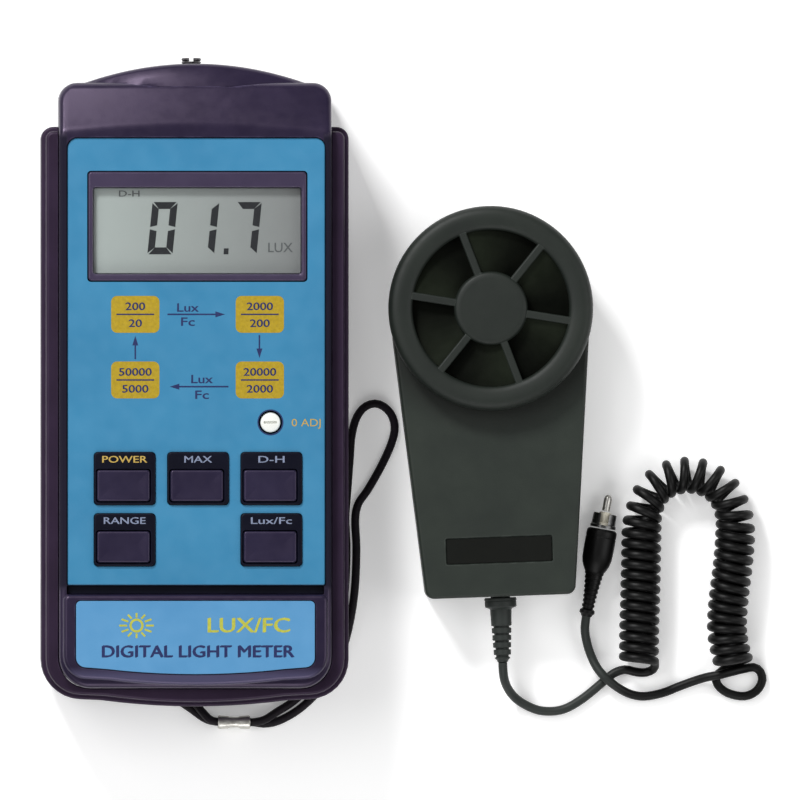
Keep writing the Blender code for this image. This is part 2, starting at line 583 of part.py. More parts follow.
def make_battery():
    width, length, height = BATTERY
    low = REAR_Z + 1.7
    block = plate("battery", [centred(width, length, 0, BATTERY_Y, 1.5)], low, low + height, "battery")
    round_rim(block, low + height, 0.8)
    end = BATTERY_Y + length / 2
    snap = plate("battery_snap", [centred(25.4, 3.2, 0, end + GAP + 1.6, 0.6)], low + 2.0, low + 15.0,
                 "component")
    round_rim(snap, low + 15.0, 0.5)


def make_battery_door():
    length = DOOR_TOP - DOOR_BOTTOM
    middle = (DOOR_TOP + DOOR_BOTTOM) / 2
    door = plate("battery_door", [centred(2 * DOOR_HALF, length, 0, 0, 1.0)], 0.0, 1.2, "casing",
                 at=(0, middle, REAR_Z + 0.1))
    for index in range(5):
        grip = plate(f"door_grip_{index + 1}", [centred(14.0, 0.9, 0, length / 2 - 8.0 - 1.9 * index)],
                     -1, 0.5,
                     at=(0, middle, REAR_Z + 0.1))
        cut(door, grip)


def make_fasteners_and_feet():
    for index, (x, y) in enumerate(SCREW_AT, 1):
        shape = [(0, 24.0), (0.9, 24.0), (1.3, 23.3), (1.3, 1.7), (2.7, 1.5), (2.7, 0.5), (2.2, 0.0),
                 (0, 0)]
        screw = turned(f"case_screw_{index}", shape, "steel", at=(x, y, REAR_Z + 0.5), sides=12)
        for turn in (0, math.pi / 2):
            slot = plate(f"screw_slot_{index}_{round(turn)}", [centred(3.0, 0.6)], -1, 0.8,
                         at=(x, y, REAR_Z + 0.5))
            slot.rotation_euler.z = turn
            cut(screw, slot)
    for index, (x, y) in enumerate(FOOT_AT, 1):
        height = REAR_Z + 0.6
        turned(f"foot_{index}", [(0, height), (FOOT_RADIUS, height), (FOOT_RADIUS, 0.6),
                                 (FOOT_RADIUS - 0.6, 0), (0, 0)],
               "rubber", at=(x, y, 0), sides=18)


def make_strap():
    turned("strap_post", [(0, 3.3), (1.2, 3.3), (1.2, 0.9), (1.4, 0.6), (1.4, 0.1), (0, 0.1)], "steel",
           at=(*POST_AT, 0.8), sides=16)
    tube("wrist_strap", STRAP_ROUTE, STRAP_RADIUS, "strap", 4.2)
    width, height = 3.3, 5.7
    slot = centred(width - 0.6, height - 0.6, 0, 0, 1.0)
    crimp = plate("strap_crimp", [centred(width, height, 0, 0, 1.4), slot], -CRIMP_LENGTH / 2,
                  CRIMP_LENGTH / 2,
                  "metal", at=(*CRIMP_AT, height / 2 + 0.05))
    crimp.rotation_euler = (math.pi / 2, 0, math.pi / 2)


# ---------------------------------------------------------------- probe

def probe_outline(inset=0.0):
    """Outline of the probe's housing: a round head that tapers to its cord end."""
    shoulder_x, shoulder_y = PROBE_SHOULDER
    foot_x, foot_y = PROBE_FOOT
    radius = HEAD_RADIUS - inset
    head = [math.radians(-6 + 192 * i / 24) for i in range(25)]
    outline = [Vector((radius * math.cos(a), radius * math.sin(a))) for a in head]
    lower = filleted([(inset - shoulder_x, shoulder_y, 0),
                      (inset - foot_x, foot_y + inset, PROBE_CORNER - inset * 0.6),
                      (foot_x - inset, foot_y + inset, PROBE_CORNER - inset * 0.6), (shoulder_x - inset,
                                                                                     shoulder_y, 0)], 4)
    return outline + lower


def grip_hole(name, parent):
    """Cutter for the cord grip's hole in the probe's end wall."""
    profile = [(0, 4), (2.9, 4), (2.9, -4), (0, -4)]
    return turned(name, profile, at=(0, PROBE_FOOT[1], PROBE_SPLIT_Z), turn=(math.pi / 2, 0, 0),
                  parent=parent, sides=20)


def make_probe_shells(parent):
    low = PROBE_SPLIT_Z + GAP / 2
    front = plate("probe_front_shell", [probe_outline()], low, PROBE_TOP_Z, "probe", parent=parent)
    round_rim(front, PROBE_TOP_Z, 0.9)
    spigot = plate("cap_spigot", [circle(0, 0, 21.6, 32)], PROBE_TOP_Z - 1, PROBE_TOP_Z + 1.8,
                   parent=parent)
    hollow = plate("probe_front_hollow", [probe_outline(PROBE_WALL)], low - 2, PROBE_TOP_Z - PROBE_WALL,
                   parent=parent)
    window = plate("sensor_window", [circle(0, 0, 17.4, 32)], low - 2, PROBE_TOP_Z + 5, parent=parent)
    label_bed = plate("label_bed", [centred(*LABEL_SIZE, 0, LABEL_Y)], PROBE_TOP_Z - 0.8, PROBE_TOP_Z + 3,
                      parent=parent)
    join(front, spigot)
    cut(front, hollow, window, label_bed)

    high = PROBE_SPLIT_Z - GAP / 2
    rear = plate("probe_rear_shell", [probe_outline()], 0.0, high, "probe", parent=parent)
    round_rim(rear, 0.0, 1.2)
    cut(rear, plate("probe_rear_hollow", [probe_outline(PROBE_WALL)], PROBE_WALL, high + 2, parent=parent))
    for index, (x, y) in enumerate(PROBE_SCREW_AT, 1):
        front_boss = plate(f"probe_front_boss_{index}", [circle(x, y, 2.6, 14)], low + GAP,
                           PROBE_TOP_Z - 1, parent=parent)
        thread = plate(f"probe_thread_{index}", [circle(x, y, 1.4, 12)], low - 1, 14.6, parent=parent)
        rear_boss = plate(f"probe_rear_boss_{index}", [circle(x, y, 2.6, 14)], 1.0, high - GAP,
                          parent=parent)
        shank = plate(f"probe_shank_{index}", [circle(x, y, 1.4, 12)], -1, high + 1, parent=parent)
        pocket = plate(f"probe_pocket_{index}", [circle(x, y, 2.05, 16)], -1, 1.8, parent=parent)
        cut(join(front, front_boss), thread)
        cut(join(rear, rear_boss), shank, pocket)
        shape = [(0, 13.6), (0.7, 13.6), (1.1, 13.0), (1.1, 1.3), (1.8, 1.1), (1.8, 0.3), (1.5, 0), (0, 0)]
        screw = turned(f"probe_screw_{index}", shape, "steel", at=(x, y, 0.3), parent=parent, sides=14)
        cut(screw, plate(f"probe_screw_slot_{index}", [centred(2.2, 0.5)], -1, 0.5, at=(x, y, 0.3),
                         parent=parent))
    cut(front, grip_hole("front_grip_hole", parent))
    cut(rear, grip_hole("rear_grip_hole", parent))
    label = centred(LABEL_SIZE[0] - 0.6, LABEL_SIZE[1] - 0.6, 0, LABEL_Y)
    plate("probe_label", [label], PROBE_TOP_Z - 0.8 + GAP, PROBE_TOP_Z - 0.1, "component", parent=parent)


def make_sensor(parent):
    flange, crown = PROBE_TOP_Z - PROBE_WALL - GAP, 19.0
    dome = [(17.0 * math.sin(a), 16.8 + (crown - 16.8) * math.cos(a)) for a in
            [math.pi / 2 * i / 4 for i in range(5)]]
    turned("diffuser_dome", dome + [(17.0, flange), (18.0, flange), (18.0, flange - 0.9),
                                    (0, flange - 0.9)],
           "white", parent=parent, sides=28)
    turned("optical_filter", [(0, 13.7), (9.7, 13.7), (10.0, 13.4), (10.0, 12.3), (0, 12.3)], "filter",
           parent=parent, sides=24)
    turned("photodiode", [(0, 12.0), (4.2, 12.0), (4.2, 11.0), (4.8, 11.0), (4.8, 10.6), (0, 10.6)],
           "steel",
           parent=parent, sides=16)
    plate("sensor_board", [circle(0, 0, 15.0, 24)], 8.8, 10.3, "board", parent=parent)


def make_probe_cap(parent):
    rim = [(0, CAP_TOP - 0.1), (HUB_RADIUS - 1.0, CAP_TOP - 0.1), (HUB_RADIUS, CAP_TOP - 0.9),
           (HUB_RADIUS, CAP_FLOOR),
           (CAP_OPENING, CAP_FLOOR), (CAP_OPENING, CAP_TOP - 1.2), (CAP_OPENING + 1.3, CAP_TOP - 0.2),
           (CAP_OPENING + 2.4, CAP_TOP), (CAP_RADIUS - 2.2, CAP_TOP), (CAP_RADIUS - 0.9, CAP_TOP - 0.5),
           (CAP_RADIUS, CAP_TOP - 1.9), (CAP_RADIUS, CAP_LOW + 0.6), (CAP_RADIUS - 0.6, CAP_LOW),
           (22.2, CAP_LOW), (22.2, CAP_FLOOR - 1.2), (0, CAP_FLOOR - 1.2)]
    cap = turned("probe_cap", rim, "probe_cap", parent=parent, sides=40)
    inner, outer = HUB_RADIUS - 0.8, CAP_OPENING + 0.8
    for index in range(SPOKES):
        spoke = plate(f"cap_spoke_{index + 1}",
                      [rectangle(inner, -SPOKE_WIDTH / 2, outer, SPOKE_WIDTH / 2)],
                      CAP_FLOOR - 0.4, CAP_TOP - 0.5, parent=parent)
        round_rim(spoke, CAP_TOP - 0.5, 0.4)
        spoke.rotation_euler.z = SPOKE_START - PROBE_TURN + 2 * math.pi * index / SPOKES
        join(cap, spoke)


def make_cord_grip(parent):
    profile = [(0, 3.6), (4.0, 3.6), (4.0, 2.2), (2.5, 2.2), (2.5, -GAP), (3.6, -GAP), (4.1, -0.8),
               (4.1, -2.6),
               (3.5, -3.0), (2.6, -3.2), (2.6, -6.2)]
    for rib in range(5):
        start = -6.4 - 1.85 * rib
        profile += [(2.15, start), (2.15, start - 1.2), (1.55, start - 1.4), (1.55, start - 1.75)]
    profile += [(2.0, -15.7), (1.8, -16.0), (0, -16.0)]
    turned("cord_grip", profile, "cord", at=(0, PROBE_FOOT[1], PROBE_SPLIT_Z - 0.2),
           turn=(-math.pi / 2, 0, 0),
           parent=parent, sides=14)


# ---------------------------------------------------------------- cord and plug

def make_cord():
    tube("probe_lead", PROBE_LEAD_ROUTE, CORD_RADIUS, "cord", 2.6)
    tube("curly_cord", COIL_ROUTE, COIL_RADIUS, "cord", 4.0, sides=3)
    tube("plug_lead", PLUG_LEAD_ROUTE, CORD_RADIUS, "cord", 2.6)


def make_plug():
    frame = bpy.data.objects.new("plug_frame", None)
    bpy.data.collections["light_meter"].objects.link(frame)
    frame.location = ((METER_AT[0] + PLUG_START[0]) * MM, (METER_AT[1] + PLUG_START[1]) * MM, PLUG_Z * MM)
    frame.rotation_euler.z = PLUG_TURN
    along = (-math.pi / 2, 0, 0)
    body = [(0, 22.0), (3.7, 22.0), (4.2, 21.4), (4.2, 14.6), (3.5, 12.6), (2.5, 11.4), (2.15, 10.6)]
    for rib in range(4):
        start = 10.0 - 2.1 * rib
        body += [(1.7, start), (1.7, start - 0.6), (2.05, start - 0.8), (2.05, start - 1.6)]
    body += [(2.6, 0.7), (2.6, 0), (0, 0)]
    turned("plug_body", body, "cord", turn=along, parent=frame, sides=16)
    shell = turned("plug_shell", [(2.65, 26.0), (2.95, 26.0), (3.1, 25.7), (3.1, 22.3), (2.65, 22.3)],
                   "steel",
                   turn=along, parent=frame, sides=20)
    for index in range(2):
        slot = plate(f"shell_slot_{index + 1}", [centred(0.6, 3.4, 0, 25.4)], -5, 5, parent=frame)
        slot.rotation_euler.y = math.radians(45 + 90 * index)
        cut(shell, slot)
    turned("plug_insulator", [(0, 26.4), (1.3, 26.4), (1.5, 26.2), (1.5, 23.6), (2.3, 23.6), (2.3, 22.3),
                              (0, 22.3)],
           "insulator", turn=along, parent=frame, sides=14)
    turned("plug_pin", [(0, 30.9), (0.5, 30.8), (0.9, 30.4), (1.03, 29.9), (1.03, 26.7), (0, 26.7)],
           "metal",
           turn=along, parent=frame, sides=14)


def make_probe():
    frame = bpy.data.objects.new("probe_frame", None)
    bpy.data.collections["light_meter"].objects.link(frame)
    frame.location = ((METER_AT[0] + PROBE_AT[0]) * MM, (METER_AT[1] + PROBE_AT[1]) * MM, 0)
    frame.rotation_euler.z = PROBE_TURN
    make_probe_shells(frame)
    make_sensor(frame)
    make_probe_cap(frame)
    make_cord_grip(frame)


def main():
    clear_scene()
    make_collection("light_meter")
    make_collection("cutters")
    make_front_case()
    make_rear_case()
    make_guard_frame()
    make_panels()
    make_display()
    make_keys()
    make_zero_adjuster()
    make_board()
    make_socket()
    make_battery()
    make_battery_door()
    make_fasteners_and_feet()
    make_strap()
    make_probe()
    make_cord()
    make_plug()


main()
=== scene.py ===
"""Looks of a hand-held light meter and its probe: fine meshes, prints, materials, floor and light.

Sizes are millimetres, turned into metres when a mesh is made. Meter pieces, the cord and the strap are placed
from the middle of the meter's casing, and probe pieces from the middle of the probe's cap.
"""
import json
import math

import bmesh
import bpy
from mathutils import Matrix, Vector


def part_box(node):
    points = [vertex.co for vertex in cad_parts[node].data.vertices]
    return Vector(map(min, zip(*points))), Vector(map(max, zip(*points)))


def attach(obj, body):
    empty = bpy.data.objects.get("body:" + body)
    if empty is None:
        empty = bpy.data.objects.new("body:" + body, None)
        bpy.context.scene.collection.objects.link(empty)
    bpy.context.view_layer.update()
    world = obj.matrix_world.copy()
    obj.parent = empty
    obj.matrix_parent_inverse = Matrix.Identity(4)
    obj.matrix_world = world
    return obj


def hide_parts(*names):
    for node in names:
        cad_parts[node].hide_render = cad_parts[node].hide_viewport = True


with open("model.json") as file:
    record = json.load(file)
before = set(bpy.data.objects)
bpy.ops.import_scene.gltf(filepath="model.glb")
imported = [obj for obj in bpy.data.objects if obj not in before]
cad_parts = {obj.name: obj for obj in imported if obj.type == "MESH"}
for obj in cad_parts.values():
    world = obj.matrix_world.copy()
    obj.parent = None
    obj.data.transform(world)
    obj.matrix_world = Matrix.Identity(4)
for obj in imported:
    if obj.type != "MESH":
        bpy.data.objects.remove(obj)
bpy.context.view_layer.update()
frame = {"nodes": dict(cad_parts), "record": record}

MM = 0.001
CREASE = math.radians(32)    # a sharper edge than this is shaded as an edge

# Driving sizes, which follow the frame
CASE_HALF, CASE_TOP, CASE_BOTTOM = 34.7, 77.0, -77.2
REAR_Z, SPLIT_Z, FRONT_Z, CASE_WALL = 3.0, 20.0, 34.8, 2.0
PARTING = 0.15           # half of the gap between two shells
SLOPE_START, SLOPE_END, SLOPE_DROP = 66.4, 77.0, 4.6
GUARD_HALF, GUARD_TOP, GUARD_CORNER_Y, GUARD_SAG, GUARD_RADIUS = 39.2, 65.8, -79.6, 2.3, 10.2
GUARD_LOW, GUARD_STEP_Z, GUARD_HIGH, GUARD_STEP = 5.5, 25.0, 30.5, 1.2
PANEL_HALF, PANEL_TOP, PANEL_BOTTOM, PANEL_Z, PANEL_SHIFT = 32.8, 62.9, -50.9, 34.2, 0.25
GROOVE_TOP, GROOVE_BOTTOM = -51.0, -53.3
NAME_HALF, NAME_TOP, NAME_CORNER_Y, NAME_SAG, NAME_Z = 30.4, -54.9, -71.7, 1.9, 35.8
DISPLAY = (-27.3, 26.5, 28.3, 54.3)
DISPLAY_WINDOW = (-25.9, 28.4, 26.9, 50.2)
WINDOW_Z, WINDOW_THICK, CELL_THICK = 33.0, 0.8, 2.0
DISPLAY_GLASS_Z = WINDOW_Z - WINDOW_THICK - 0.3
KEY_COLUMNS, KEY_ROWS = (-18.0, 0.7, 19.35), (-23.8, -39.4)
KEY_FRAME, KEY_CAP_DROP, KEY_TOP_Z, KEY_FRAME_Z = (15.9, 13.9), 1.8, 35.5, 34.9
KEY_RIM, KEY_TOP_SIZE, KEY_SHIFT = (15.7, 13.5), (13.5, 8.0), -0.35    # sizes over the rounded edges
ZERO_AT, ZERO_HOLE = (19.1, -9.5), 3.0
PROBE_TURN = math.radians(2.1)
PROBE_SPLIT_Z, PROBE_TOP_Z, PROBE_END = 10.0, 17.0, -73.6
CAP_RADIUS, CAP_OPENING, HUB_RADIUS = 26.1, 20.0, 9.4
CAP_LOW, CAP_FLOOR, CAP_TOP = 17.3, 20.6, 24.5
SPOKES, SPOKE_WIDTH, SPOKE_START = 6, 2.0, math.radians(-9)
LABEL_Y, LABEL_SIZE = -61.7, (27.2, 6.7)
CORD_RADIUS, COIL_RADIUS, ARCH_RADIUS, STRAP_RADIUS = 1.15, 5.2, 4.8, 1.05
PLUG_START, PLUG_TURN, PLUG_Z = (100.4, -58.4), math.radians(-10.5), 4.3

# Routes of the cord and the strap, as in the frame
PROBE_LEAD_ROUTE = (
    (78.81, -70.65, 9.8), (78.95, -73.2, 9.1), (79.4, -75.6, 7.3), (80.5, -77.9, 4.8), (82.3, -80.0, 2.6),
    (84.8, -81.7, 1.4), (88.3, -83.1, 1.2), (92.2, -83.3, 1.2), (95.4, -82.5, 1.2), (98.4, -80.8, 1.2),
    (101.0, -78.9, 1.2), (103.4, -76.9, 1.2), (105.6, -75.0, 1.2), (107.8, -73.4, 1.2), (110.4, -72.7, 1.2),
    (113.0, -73.3, 1.2), (115.6, -73.4, 1.2), (117.6, -72.4, 2.2),
)
COIL_ROUTE = (
    (113.7, -70.6, 5.15), (113.8, -62.0, 5.15), (114.1, -52.0, 5.15), (114.3, -42.0, 5.15),
    (114.7, -33.6, 5.15), (116.9, -27.6, 5.15), (120.8, -24.2, 5.15), (126.2, -23.0, 5.15),
    (131.6, -24.2, 5.15), (135.9, -27.9, 5.15), (138.2, -34.4, 5.15), (137.9, -44.1, 5.15),
    (136.7, -54.0, 5.15), (136.2, -62.0, 5.15), (137.0, -67.5, 5.15), (138.0, -71.3, 5.15),
)
PLUG_LEAD_ROUTE = (
    (134.5, -73.4, 1.2), (133.5, -74.9, 1.2), (134.1, -76.8, 1.2), (136.0, -78.4, 1.2), (138.6, -79.3, 1.2),
    (141.4, -79.4, 1.2), (143.9, -78.1, 1.2), (145.3, -75.7, 1.2), (144.9, -73.3, 1.2), (143.2, -72.1, 1.3),
    (140.6, -72.5, 1.7), (137.6, -73.2, 2.8), (134.4, -74.0, 3.8), (131.2, -74.6, 3.0), (128.2, -75.5, 1.8),
    (124.1, -77.0, 1.2), (120.0, -78.6, 1.2), (115.4, -79.5, 1.2), (111.8, -79.0, 1.6), (108.4, -77.3, 3.0),
    (105.4, -74.9, 3.8), (103.2, -72.4, 3.0), (101.6, -69.2, 2.1), (100.5, -65.8, 2.4), (99.95, -62.4, 3.6),
    (100.3, -58.75, PLUG_Z),
)
STRAP_ROUTE = (
    (-24.3, -67.6, 1.1), (-24.2, -69.9, 1.1), (-22.3, -71.6, 1.1), (-19.6, -71.7, 1.1), (-16.4, -72.9, 1.1),
    (-11.2, -75.9, 1.1), (-5.6, -79.4, 1.1), (-0.6, -82.7, 1.1), (2.4, -84.9, 1.3), (5.0, -85.85, 1.7),
    (10.3, -86.1, 1.7), (15.0, -86.1, 1.7), (18.2, -86.5, 1.4), (21.9, -85.7, 1.1), (26.7, -83.0, 1.1),
    (31.0, -79.1, 1.1), (35.0, -73.8, 1.1), (38.1, -67.4, 1.1), (40.0, -60.2, 1.1), (41.2, -52.0, 1.1),
    (41.6, -42.0, 1.1), (41.3, -34.4, 1.1), (42.1, -30.3, 1.1), (44.6, -26.6, 1.1), (48.0, -20.6, 1.1),
    (50.6, -14.8, 1.1), (51.4, -10.6, 1.1), (50.2, -7.0, 1.1), (47.2, -4.8, 1.1), (44.0, -5.4, 1.1),
    (41.7, -8.2, 1.1), (40.4, -12.8, 1.1), (39.9, -19.0, 1.1), (39.3, -27.0, 1.1), (38.8, -34.0, 1.1),
    (39.1, -42.0, 1.1), (38.7, -52.0, 1.1), (37.6, -59.8, 1.1), (35.8, -66.6, 1.1), (32.8, -72.5, 1.1),
    (29.2, -77.4, 1.1), (25.2, -81.0, 1.3), (21.4, -83.4, 2.2), (18.2, -85.4, 3.4), (15.0, -86.1, 3.9),
    (10.3, -86.1, 3.9), (5.0, -85.8, 3.9), (2.4, -83.7, 3.4), (0.0, -80.9, 2.1), (-4.4, -77.5, 1.2),
    (-10.0, -73.4, 1.1), (-15.0, -69.9, 1.1), (-17.7, -67.1, 1.1), (-20.0, -65.3, 1.1), (-22.4, -65.1, 1.1),
)


# ---------------------------------------------------------------- places in the frame

def shift(x, y, z):
    return Matrix.Translation((x, y, z))


def middle(node):
    low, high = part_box(node)
    return (low + high) / 2


METER = Vector((middle("rear_case").x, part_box("rear_case")[0].y - CASE_BOTTOM * MM, 0))
PROBE = Vector((middle("probe_cap").x, middle("probe_cap").y, 0))
METER_PLACE = Matrix.Translation(METER)
PROBE_PLACE = Matrix.Translation(PROBE) @ Matrix.Rotation(PROBE_TURN, 4, "Z")
PLUG_AT = METER + Vector((*PLUG_START, PLUG_Z)) * MM
PLUG_PLACE = Matrix.Translation(PLUG_AT) @ Matrix.Rotation(PLUG_TURN, 4, "Z")
ALONG_Y = Matrix.Rotation(-math.pi / 2, 4, "X")     # a turned piece's own axis laid along +Y


# ---------------------------------------------------------------- camera

VIEW_WIDTH = 204.0             # what the picture spans at the height of VIEW_Z
VIEW_AT, VIEW_Z = (52.4, -3.8), 18.9
VIEW_LEAN = math.radians(1.15)  # the camera stands a little to the meter's side
LENS, SENSOR = 1600.0, 36.0


def placed(name, data):
    """New object in the scene."""
    made = bpy.data.objects.new(name, data)
    bpy.context.scene.collection.objects.link(made)
    return made


def make_camera():
    camera = placed("camera", bpy.data.cameras.new("camera"))
    camera.data.lens = LENS
    camera.data.sensor_width = SENSOR
    camera.data.clip_end = 20
    distance = VIEW_WIDTH * MM * LENS / SENSOR
    away = Vector((-math.sin(VIEW_LEAN), 0, math.cos(VIEW_LEAN)))
    camera.location = METER + Vector((*VIEW_AT, VIEW_Z)) * MM + away * distance
    camera.rotation_euler = (0, -VIEW_LEAN, 0)
    bpy.context.scene.camera = camera


# ---------------------------------------------------------------- mesh helpers

def rounded(corners, steps=7):
    """Closed outline through corners (x, y, radius), each rounded in the given number of steps."""
    outline = []
    for index, (x, y, radius) in enumerate(corners):
        here = Vector((x, y))
        if radius == 0:
            outline.append(here)
            continue
        back = (Vector(corners[index - 1][:2]) - here).normalized()
        ahead = (Vector(corners[(index + 1) % len(corners)][:2]) - here).normalized()
        half = back.angle(ahead) / 2
        centre = here + (back + ahead).normalized() * radius / math.sin(half)
        first = here + back * radius / math.tan(half) - centre
        last = here + ahead * radius / math.tan(half) - centre
        turn = math.atan2(first.x * last.y - first.y * last.x, first.dot(last))
        outline += [centre + Matrix.Rotation(turn * i / steps, 2) @ first for i in range(steps + 1)]
    return outline


def box_outline(x0, y0, x1, y1, radius, steps=5):
    """Outline of a rounded rectangle as a function of its inset."""
    def outline(inset):
        r = max(radius - inset, 0.04)
        return rounded([(x0 + inset, y0 + inset, r), (x1 - inset, y0 + inset, r),
                        (x1 - inset, y1 - inset, r), (x0 + inset, y1 - inset, r)], steps)
    return outline


def centred(width, height, x, y, radius, steps=5):
    return box_outline(x - width / 2, y - height / 2, x + width / 2, y + height / 2, radius, steps)


def disc(x, y, radius, sides=48):
    """Outline of a circle as a function of its inset."""
    def outline(inset):
        turns = [2 * math.pi * i / sides for i in range(sides)]
        return [Vector((x + (radius - inset) * math.cos(a), y + (radius - inset) * math.sin(a)))
                for a in turns]
    return outline


def soft_top(high, radius, steps=4):
    """Profile (inset, z) of a rounded upper edge."""
    turns = [math.pi / 2 * i / steps for i in range(steps + 1)]
    return [(radius * (1 - math.cos(a)), high - radius * (1 - math.sin(a))) for a in turns]


def soft_bottom(low, radius, steps=4):
    """Profile (inset, z) of a rounded lower edge."""
    return [(inset, 2 * low - z) for inset, z in reversed(soft_top(low, radius, steps))]


def skin(rings, loop=False):
    """Closed body through rings of points, capped at both ends or joined end to end."""
    shell = bmesh.new()
    rows = [[shell.verts.new(point) for point in ring] for ring in rings]
    following = rows[1:] + rows[:1] if loop else rows[1:]
    for row, after in zip(rows, following):
        for i in range(len(row)):
            j = (i + 1) % len(row)
            shell.faces.new((row[i], row[j], after[j], after[i]))
    if not loop:
        shell.faces.new(list(reversed(rows[0])))
        shell.faces.new(rows[-1])
    bmesh.ops.recalc_face_normals(shell, faces=shell.faces)
    return shell


def solid(outline, profile):
    """Body whose outline changes with height as its profile (inset, z) says."""
    return skin([[(p.x, p.y, z) for p in outline(inset)] for inset, z in profile])


def prism(outline, low, high):
    """Straight body over an outline."""
    return solid(outline, [(0, low), (0, high)])


def slab(outline, low, high, radius, steps=4):
    """Body with a rounded upper edge."""
    return solid(outline, [(0, low)] + soft_top(high, radius, steps))


def frame_solid(outer, inner, outer_profile, inner_profile):
    """Frame between an outer and an inner outline with equally many points."""
    rings = [[(p.x, p.y, z) for p in outer(inset)] for inset, z in outer_profile]
    rings += [[(p.x, p.y, z) for p in inner(inset)] for inset, z in inner_profile]
    return skin(rings, loop=True)


def lathe(profile, sides=48):
    """Turned body: profile points (radius, height) from axis to axis, or a closed ring if none is on it."""
    turns = [2 * math.pi * i / sides for i in range(sides)]
    hollow = profile[0][0] > 0
    rings = [[(max(r, 0.002) * math.cos(a), max(r, 0.002) * math.sin(a), z) for a in turns] for r,
             z in profile]
    return skin(rings, loop=hollow)


def mesh_of(shell, name="part"):
    """Mesh of a body, which is used up."""
    mesh = bpy.data.meshes.new(name)
    shell.to_mesh(mesh)
    shell.free()
    return mesh


def merged(*shells):
    """Several bodies in one mesh."""
    whole = bmesh.new()
    for shell in shells:
        mesh = mesh_of(shell)
        whole.from_mesh(mesh)
        bpy.data.meshes.remove(mesh)
    return whole


def moved(shell, matrix):
    shell.transform(matrix)
    return shell


def carved(shell, cuts=(), joins=()):
    """The body with the joins added and then the cuts taken away."""
    body = placed("tool", mesh_of(shell, "tool"))
    tools = []
    for operation, group in (("UNION", joins), ("DIFFERENCE", cuts)):
        for cutter in group:
            tool = placed("tool", mesh_of(cutter, "tool"))
            tools.append(tool)
            step = body.modifiers.new("step", "BOOLEAN")
            step.operation = operation
            step.object = tool
    graph = bpy.context.evaluated_depsgraph_get()
    result = bmesh.new()
    result.from_object(body, graph)
    for thing in [body] + tools:
        mesh = thing.data
        bpy.data.objects.remove(thing)
        bpy.data.meshes.remove(mesh)
    bmesh.ops.remove_doubles(result, verts=result.verts, dist=0.0005)
    bmesh.ops.dissolve_degenerate(result, edges=result.edges, dist=0.0005)
    return result


def show(name, shell, look, stands_for=None, body="meter", place=METER_PLACE):
    """Make a piece in millimetres, with its material, on its CAD body and in the place of its CAD node."""
    mesh = mesh_of(shell, name)
    mesh.transform(place @ Matrix.Scale(MM, 4))
    mesh.materials.append(LOOKS[look])
    mesh.shade_smooth()
    mesh.set_sharp_from_angle(angle=CREASE)
    piece = placed(name, mesh)
    weighted = piece.modifiers.new("normals", "WEIGHTED_NORMAL")
    weighted.keep_sharp = True
    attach(piece, body)
    if stands_for:
        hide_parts(stands_for)
    return piece


def flowing(points, spacing):
    """Evenly spread points on a smooth curve through a route's own points."""
    knots = [Vector(p) for p in points]
    knots = [2 * knots[0] - knots[1]] + knots + [2 * knots[-1] - knots[-2]]
    fine = []
    for before, start, end, after in zip(knots, knots[1:], knots[2:], knots[3:]):
        for step in range(12):
            t = step / 12
            bend = (2 * before - 5 * start + 4 * end - after) * t * t
            twist = (3 * start - before - 3 * end + after) * t ** 3
            fine.append((2 * start + (end - before) * t + bend + twist) / 2)
    fine.append(knots[-2])
    lengths = [0.0]
    for start, end in zip(fine, fine[1:]):
        lengths.append(lengths[-1] + (end - start).length)
    count = max(2, round(lengths[-1] / spacing))
    even = []
    index = 0
    for step in range(count + 1):
        goal = lengths[-1] * step / count
        while index < len(fine) - 2 and lengths[index + 1] < goal:
            index += 1
        share = (goal - lengths[index]) / (lengths[index + 1] - lengths[index])
        even.append(fine[index].lerp(fine[index + 1], share))
    return even


def round_cord(name, points, radius, look, body, stands_for, sides=4):
    """Round cord as a curve along points in millimetres."""
    curve = bpy.data.curves.new(name, "CURVE")
    curve.dimensions = "3D"
    curve.bevel_depth = radius * MM
    curve.bevel_resolution = sides
    curve.use_fill_caps = True
    spline = curve.splines.new("POLY")
    spline.points.add(len(points) - 1)
    for point, where in zip(spline.points, points):
        point.co = (*(METER + where * MM), 1)
    spline.use_smooth = True
    curve.materials.append(LOOKS[look])
    piece = placed(name, curve)
    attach(piece, body)
    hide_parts(*stands_for)
    return piece


# ---------------------------------------------------------------- cord and strap

LEG_PITCH, ARCH_PITCH = 2.64, 3.72
LEG_CROWDING, ARCH_CROWDING = 0.3, 0.95      # how much of a turn's advance is made on the bend's inner side
ARCH_START = -33.6       # how far up the coil's line its arch begins


def arch_share(point):
    """0 on the coil's straight legs and 1 on its arch."""
    return min(max((point.y - ARCH_START + 4) / 8, 0), 1)


